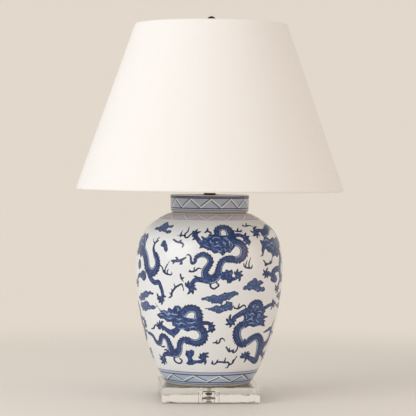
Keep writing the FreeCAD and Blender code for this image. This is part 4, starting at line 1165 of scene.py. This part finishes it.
def bake_layout(mesh, outline, outside):
    """Lay the painted side out in two wide strips, front and back, with the rest squeezed below."""
    rows = len(outline)
    painted = np.zeros(rows, bool)
    painted[outside.start:outside.stop - 1] = True
    along = lengths_along(np.vstack([outline, outline[:1]]))
    first, last = along[outside.start], along[outside.stop - 1]
    other = np.where(along <= first, along, along - (last - first))
    face_row, face_column = (part.reshape(-1, 1) for part in np.indices((rows, JAR_COLUMNS)))
    row = face_row + (0, 0, 1, 1)
    column = face_column + (0, 1, 1, 0)
    half = JAR_COLUMNS // 2
    back = face_column >= half
    on_side = painted[face_row]
    sideways = np.where(on_side, (column - back * half) / half, column / JAR_COLUMNS)
    upward = np.where(
        on_side,
        (along[row] - first) / (last - first) * (STRIP - 2 * MARGIN) + MARGIN + back * STRIP,
        other[row] / other[-1] * (1 - 2 * STRIP - 2 * MARGIN) + 2 * STRIP + MARGIN)
    values = np.stack([MARGIN + sideways * (1 - 2 * MARGIN), upward], -1)
    mesh.uv_layers.new(name="OFBake").data.foreach_set("uv", values.astype(np.float32).ravel())


class JARLAMP_OT_lid(Maker, bpy.types.Operator):
    """Turn the flat lid and paint its border"""
    bl_idname = "jarlamp.lid"
    bl_label = "Lid"

    def execute(self, context):
        low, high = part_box("jar_lid")
        ceiling = high.z - LID_TOP_THICKNESS
        crown = high.z + LID_DISH
        foot_radius = high.x - LID_TAPER
        round_edge = arc((high.x - LID_EDGE, crown - LID_EDGE), LID_EDGE, 0, math.pi / 2, LID_EDGE_STEPS)
        side = respaced(np.array([(foot_radius, low.z + LID_BEVEL), tuple(round_edge[0])]), LID_ROWS)
        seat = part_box("vase_cap")[1].x + LID_SEAT_SLACK
        outline = np.vstack([
            [(LID_BORE, low.z), (foot_radius - LID_BEVEL, low.z)], side, round_edge[1:],
            [(high.x * 0.75, crown), (high.x * 0.5, crown), (seat + LID_RIM, crown),
             (seat + LID_RIM_BEND, crown - LID_DISH * 0.3), (seat, high.z), (high.x * 0.15, high.z),
             (LID_HOLE, high.z), (LID_HOLE, ceiling), (LID_BORE, ceiling)]])
        finish = lid_finish(context.scene.jar_lamp.ceramic, low.z)
        piece = new_piece("lid_painted", *turned(outline, LID_COLUMNS, FRONT - math.pi), "lamp_base",
                          "blue_and_white_glaze", finish, ("jar_lid",), sharp=GLAZE_CREASE)
        store(piece.data, "glazed", LID_COLUMNS, slice(2, -2), 1.0, 0.0)
        return {"FINISHED"}


# ---------------------------------------------------------------- shade

class JARLAMP_OT_shade(Maker, bpy.types.Operator):
    """Build the cloth shade: a stiff lining and a woven cover hemmed round the two rings"""
    bl_idname = "jarlamp.shade"
    bl_label = "Shade"

    def execute(self, context):
        settings = context.scene.jar_lamp.shade
        low, high = wire_middle("shade_bottom_ring"), wire_middle("shade_top_ring")
        lean = math.atan2(low[0] - high[0], high[1] - low[1])
        inner = HEM_INSIDE + LINING
        outer = inner + CLOTH

        def rising(offset, count):
            """The line from ring to ring at an offset from their wires."""
            return respaced(np.array([low, high]) + (
                offset * math.cos(lean), offset * math.sin(lean)), count)

        def shade_piece(name, outline, finish):
            return new_piece(name, *turned(outline, settings.columns, math.pi / 2), "shade",
                             "shade_linen", finish, ("shade_fabric",))

        linen = cloth_finish("shade_linen", settings.cloth)
        cover = shade_piece("shade_cover", np.vstack([
            rising(outer, COVER_ROWS),
            arc(high, outer, lean, HEM_WRAP, HEM_STEPS)[1:],
            arc(high, inner, lean + HEM_WRAP, -HEM_WRAP, HEM_STEPS),
            rising(inner, COVER_ROWS)[-2::-1],
            arc(low, inner, lean, -HEM_WRAP, HEM_STEPS)[1:],
            arc(low, outer, lean - HEM_WRAP, HEM_WRAP, HEM_STEPS)[:-1]]), linen)
        bore(cover, NOTCH_RADIUS, NOTCH_REACH, NOTCH_SIDES, *(
            Matrix.Rotation(math.radians(turn), 4, "Z")
            @ Matrix.Translation((high[0] - NOTCH_REACH / 2, 0, high[1]))
            @ Matrix.Rotation(math.pi / 2, 4, "Y") for turn in ARM_TURNS))
        lining = shade_piece(
            "shade_lining",
            np.vstack([rising(inner - GLUE_GAP, LINING_ROWS), rising(HEM_INSIDE, LINING_ROWS)[::-1]]),
            plastic_finish("shade_lining", settings.lining, 0.45, 500.0))
        seam = make_seam(rising(outer, SEAM_ROWS), linen)
        return {"FINISHED"}


def wire_middle(node):
    """Radius and height of the middle of a ring's wire."""
    low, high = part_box(node)
    return high.x - (high.z - low.z) / 2, (high.z + low.z) / 2


def make_seam(line, linen):
    """The cover's lapped edge, a narrow strip down the back."""
    sides = np.linspace(-1, 1, 5)
    aside = np.concatenate([sides, sides[::-1]])
    lift = np.concatenate([SEAM_RISE * (1 - SEAM_EDGE_DROP * sides ** 2), np.full(5, GLUE_GAP)])
    radius, level = line[:, :1], line[:, 1:]
    turn = FRONT + math.pi + aside * SEAM_HALF_WIDTH / radius
    points = np.stack([(radius + lift) * np.cos(turn), (radius + lift) * np.sin(turn),
                       level + 0 * turn], -1).reshape(-1, 3)
    around = len(aside)
    top = len(points) - around
    ends = [((9 - side, 8 - side, side + 1, side),
             (top + side, top + side + 1, top + 8 - side, top + 9 - side)) for side in range(4)]
    faces = [*quads(len(line), around, closed=False), *(face for pair in ends for face in pair)]
    return new_piece("shade_seam", points, faces, "shade", "shade_linen", linen)


# ---------------------------------------------------------------- pieces that the frame carries

class JARLAMP_OT_foot_block(Maker, bpy.types.Operator):
    """Finish the clear foot block and its pads"""
    bl_idname = "jarlamp.foot_block"
    bl_label = "Foot block"

    def execute(self, context):
        fittings = context.scene.jar_lamp.fittings
        paint_nodes(acrylic_finish(), "base_block")
        paint_nodes(plastic_finish("milky_pad", fittings.pads, 0.4), "base_pads")
        return {"FINISHED"}


class JARLAMP_OT_clamp_parts(Maker, bpy.types.Operator):
    """Finish the threaded pipe, its nuts and washers, and the cap on the lid"""
    bl_idname = "jarlamp.clamp_parts"
    bl_label = "Pipe, nuts and cap"

    def execute(self, context):
        fittings = context.scene.jar_lamp.fittings
        paint_nodes(metal_finish("zinc_steel", fittings.steel, 0.28),
                    "lamp_pipe", "base_washer", "top_washer")
        paint_nodes(metal_finish("base_nut_bronze", fittings.bronze, 0.35, 0.3), "base_nut")
        # Painted light: the cap and the top nut take the same bronze made 2.2 times lighter, making up for
        # the shadow of the lampshade that falls on them.
        paint_nodes(metal_finish("bronze_lightened_against_shade", tinted(fittings.bronze, 2.2), 0.46, 0.3),
                    "top_nut", "vase_cap")
        return {"FINISHED"}


class JARLAMP_OT_cord_bushing(Maker, bpy.types.Operator):
    """Finish the bushing that the cord goes in by"""
    bl_idname = "jarlamp.cord_bushing"
    bl_label = "Cord bushing"

    def execute(self, context):
        fittings = context.scene.jar_lamp.fittings
        paint_nodes(plastic_finish("cord_bushing", fittings.bushing, 0.38), "cord_bushing")
        return {"FINISHED"}


class JARLAMP_OT_harp(Maker, bpy.types.Operator):
    """Finish the harp, its saddle and sleeves, and the swivel stud"""
    bl_idname = "jarlamp.harp"
    bl_label = "Harp"

    def execute(self, context):
        fittings = context.scene.jar_lamp.fittings
        paint_nodes(metal_finish("dark_bronze_wire", fittings.bronze, 0.40, 0.25),
                    "harp_saddle", "harp", "sleeve_left", "sleeve_right", "harp_stud")
        return {"FINISHED"}


class JARLAMP_OT_lampholder(Maker, bpy.types.Operator):
    """Finish the lampholder's shell, insulation and contacts"""
    bl_idname = "jarlamp.lampholder"
    bl_label = "Lampholder"

    def execute(self, context):
        fittings = context.scene.jar_lamp.fittings
        paint_nodes(metal_finish("socket_brass", tinted(fittings.brass, 0.86), 0.34),
                    "socket_cap", "socket_shell")
        paint_nodes(metal_finish("bright_brass", fittings.brass, 0.22),
                    "terminal_screws", "socket_contact")
        paint_nodes(metal_finish("set_screw_steel", fittings.steel, 0.3), "set_screw")
        paint_nodes(metal_finish("screw_shell_aluminium", fittings.aluminium, 0.34), "socket_screw_shell")
        paint_nodes(board_finish("insulating_board", fittings.board), "socket_liner")
        paint_nodes(plastic_finish("moulded_body", fittings.black, 0.5), "socket_body")
        return {"FINISHED"}


class JARLAMP_OT_switch(Maker, bpy.types.Operator):
    """Finish the rotary switch's shaft and knob"""
    bl_idname = "jarlamp.switch"
    bl_label = "Switch"

    def execute(self, context):
        fittings = context.scene.jar_lamp.fittings
        paint_nodes(metal_finish("switch_shaft_steel", fittings.steel, 0.3), "switch_shaft")
        paint_nodes(plastic_finish("knob_plastic", fittings.black, 0.32), "switch_knob")
        return {"FINISHED"}


class JARLAMP_OT_bulb(Maker, bpy.types.Operator):
    """Finish the bulb's cup and its soft white glass"""
    bl_idname = "jarlamp.bulb"
    bl_label = "Bulb"

    def execute(self, context):
        fittings = context.scene.jar_lamp.fittings
        paint_nodes(metal_finish("bulb_metal", fittings.aluminium, 0.3), "bulb_base")
        paint_nodes(plastic_finish("frosted_glass", fittings.glass, 0.22, 300.0), "bulb_globe")
        return {"FINISHED"}


class JARLAMP_OT_shade_frame(Maker, bpy.types.Operator):
    """Finish the spider and the two wire rings"""
    bl_idname = "jarlamp.shade_frame"
    bl_label = "Shade frame"

    def execute(self, context):
        fittings = context.scene.jar_lamp.fittings
        paint_nodes(metal_finish("spider_brass", tinted(fittings.brass, 0.9), 0.3), "shade_spider")
        paint_nodes(plastic_finish("ring_wire", fittings.rings, 0.4),
                    "shade_top_ring", "shade_bottom_ring")
        return {"FINISHED"}


class JARLAMP_OT_finial(Maker, bpy.types.Operator):
    """Finish the finial on top of the shade"""
    bl_idname = "jarlamp.finial"
    bl_label = "Finial"

    def execute(self, context):
        fittings = context.scene.jar_lamp.fittings
        paint_nodes(metal_finish("finial_bronze", fittings.bronze, 0.34, 0.3), "finial")
        return {"FINISHED"}


# ---------------------------------------------------------------- stage

class JARLAMP_OT_stage(Maker, bpy.types.Operator):
    """Set the pale floor, the soft lights and the camera"""
    bl_idname = "jarlamp.stage"
    bl_label = "Stage"

    def execute(self, context):
        scene = context.scene
        settings = scene.jar_lamp.stage
        scene.view_settings.view_transform = "Standard"
        make_floor(settings)
        make_world(scene, settings)
        soft_light("key_light", settings.key_power, *KEY_LIGHT)
        soft_light("fill_light", settings.fill_power, *FILL_LIGHT)
        camera = bpy.data.cameras.new("camera")
        camera.lens = settings.lens
        camera.clip_start = 0.1
        camera.clip_end = 40.0
        viewer = new_object("camera", camera)
        away = (math.cos(FRONT) * settings.distance, math.sin(FRONT) * settings.distance,
                settings.eye_height)
        turn = FRONT + math.pi / 2 + settings.aim
        viewer.matrix_world = (
            Matrix.Translation(away)
            @ Euler((math.pi / 2 - settings.tilt, 0, turn)).to_matrix().to_4x4()
            @ Matrix.Rotation(settings.roll, 4, "Z"))
        scene.camera = viewer
        return {"FINISHED"}


def seen_ray(tree):
    """1 where a ray comes from the camera, a reflection or a clear part."""
    path = tree.nodes.new("ShaderNodeLightPath")
    return functools.reduce(Field.most, [
        Field(tree, path.outputs[name])
        for name in ("Is Camera Ray", "Is Glossy Ray", "Is Transmission Ray")])


def show(tree, output, share, first, second):
    """Send a mix of two shaders to a tree's output."""
    mixed = tree.nodes.new("ShaderNodeMixShader")
    for socket, value in zip(mixed.inputs, (share, first, second)):
        join(tree, socket, value)
    join(tree, tree.nodes[output].inputs[0], mixed.outputs[0])


def make_floor(settings):
    """A wide round floor whose far part melts into the backdrop."""
    finish = Finish("pale_floor", Roughness=0.6)
    finish.set("Base Color", finish.mix(
        finish.noise(40.0, 4.0, 0.6), tinted(settings.floor, 0.985), settings.floor))
    far = finish.radius().step(*MELT) * seen_ray(finish.tree)
    glow = finish.node("ShaderNodeEmission", 0, Color=settings.backdrop, Strength=1.0)
    show(finish.tree, "Material Output", far, finish.shader.outputs[0], glow)
    rings = [(radius, 0.0) for radius in FLOOR_RINGS]
    floor = new_object("floor", new_mesh("floor", *turned(rings, FLOOR_SPOKES, closed=False), finish))


def make_world(scene, settings):
    """Even light from all round, and the backdrop's colour where it is seen."""
    scene.world = bpy.data.worlds.new("room")
    scene.world.use_nodes = True
    tree = scene.world.node_tree
    seen = tree.nodes["Background"]
    light = tree.nodes.new("ShaderNodeBackground")
    for node, tint, strength in (
            (seen, settings.backdrop, 1.0), (light, ROOM_TINT, settings.sky)):
        join(tree, node.inputs["Color"], tint)
        join(tree, node.inputs["Strength"], strength)
    show(tree, "World Output", seen_ray(tree), light.outputs[0], seen.outputs[0])


def soft_light(name, power, place, size, tint):
    """A large light like a window that faces the middle of the lamp."""
    light = bpy.data.lights.new(name, "AREA")
    light.shape = "RECTANGLE"
    light.size, light.size_y = size
    light.energy = power
    light.color = tint
    lamp = new_object(name, light)
    lamp.location = place
    lamp.rotation_euler = (LIT_MIDDLE - Vector(place)).to_track_quat("-Z", "Y").to_euler()


# ---------------------------------------------------------------- add-on

class JARLAMP_PT_panel(bpy.types.Panel):
    """The lamp's pieces, in the order they are made"""
    bl_idname = "JARLAMP_PT_panel"
    bl_label = "Ginger Jar Lamp"
    bl_space_type = "VIEW_3D"
    bl_region_type = "UI"
    bl_category = "Lamp"

    def draw(self, context):
        for operator in OPERATORS:
            self.layout.operator(operator.bl_idname)
        for group in ("stage", "ceramic", "shade", "fittings"):
            settings = getattr(context.scene.jar_lamp, group)
            box = self.layout.box()
            box.label(text=group.capitalize())
            for name in settings.__annotations__:
                box.prop(settings, name)


OPERATORS = (
    JARLAMP_OT_stage, JARLAMP_OT_foot_block, JARLAMP_OT_clamp_parts, JARLAMP_OT_jar, JARLAMP_OT_lid,
    JARLAMP_OT_cord_bushing, JARLAMP_OT_harp, JARLAMP_OT_lampholder, JARLAMP_OT_switch, JARLAMP_OT_bulb,
    JARLAMP_OT_shade, JARLAMP_OT_shade_frame, JARLAMP_OT_finial)

CLASSES = (
    JARLAMP_PG_stage, JARLAMP_PG_ceramic, JARLAMP_PG_shade, JARLAMP_PG_fittings, JARLAMP_PG_settings,
    *OPERATORS, JARLAMP_PT_panel)


def register():
    for cls in CLASSES:
        bpy.utils.register_class(cls)
    bpy.types.Scene.jar_lamp = PointerProperty(
        type=JARLAMP_PG_settings, name="Jar lamp", description="Settings of the ginger jar lamp")


def unregister():
    del bpy.types.Scene.jar_lamp
    for cls in reversed(CLASSES):
        bpy.utils.unregister_class(cls)


def main():
    """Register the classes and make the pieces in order."""
    register()
    for operator in OPERATORS:
        group, name = operator.bl_idname.split(".")
        getattr(getattr(bpy.ops, group), name)()


if __name__ == "__main__":
    main()
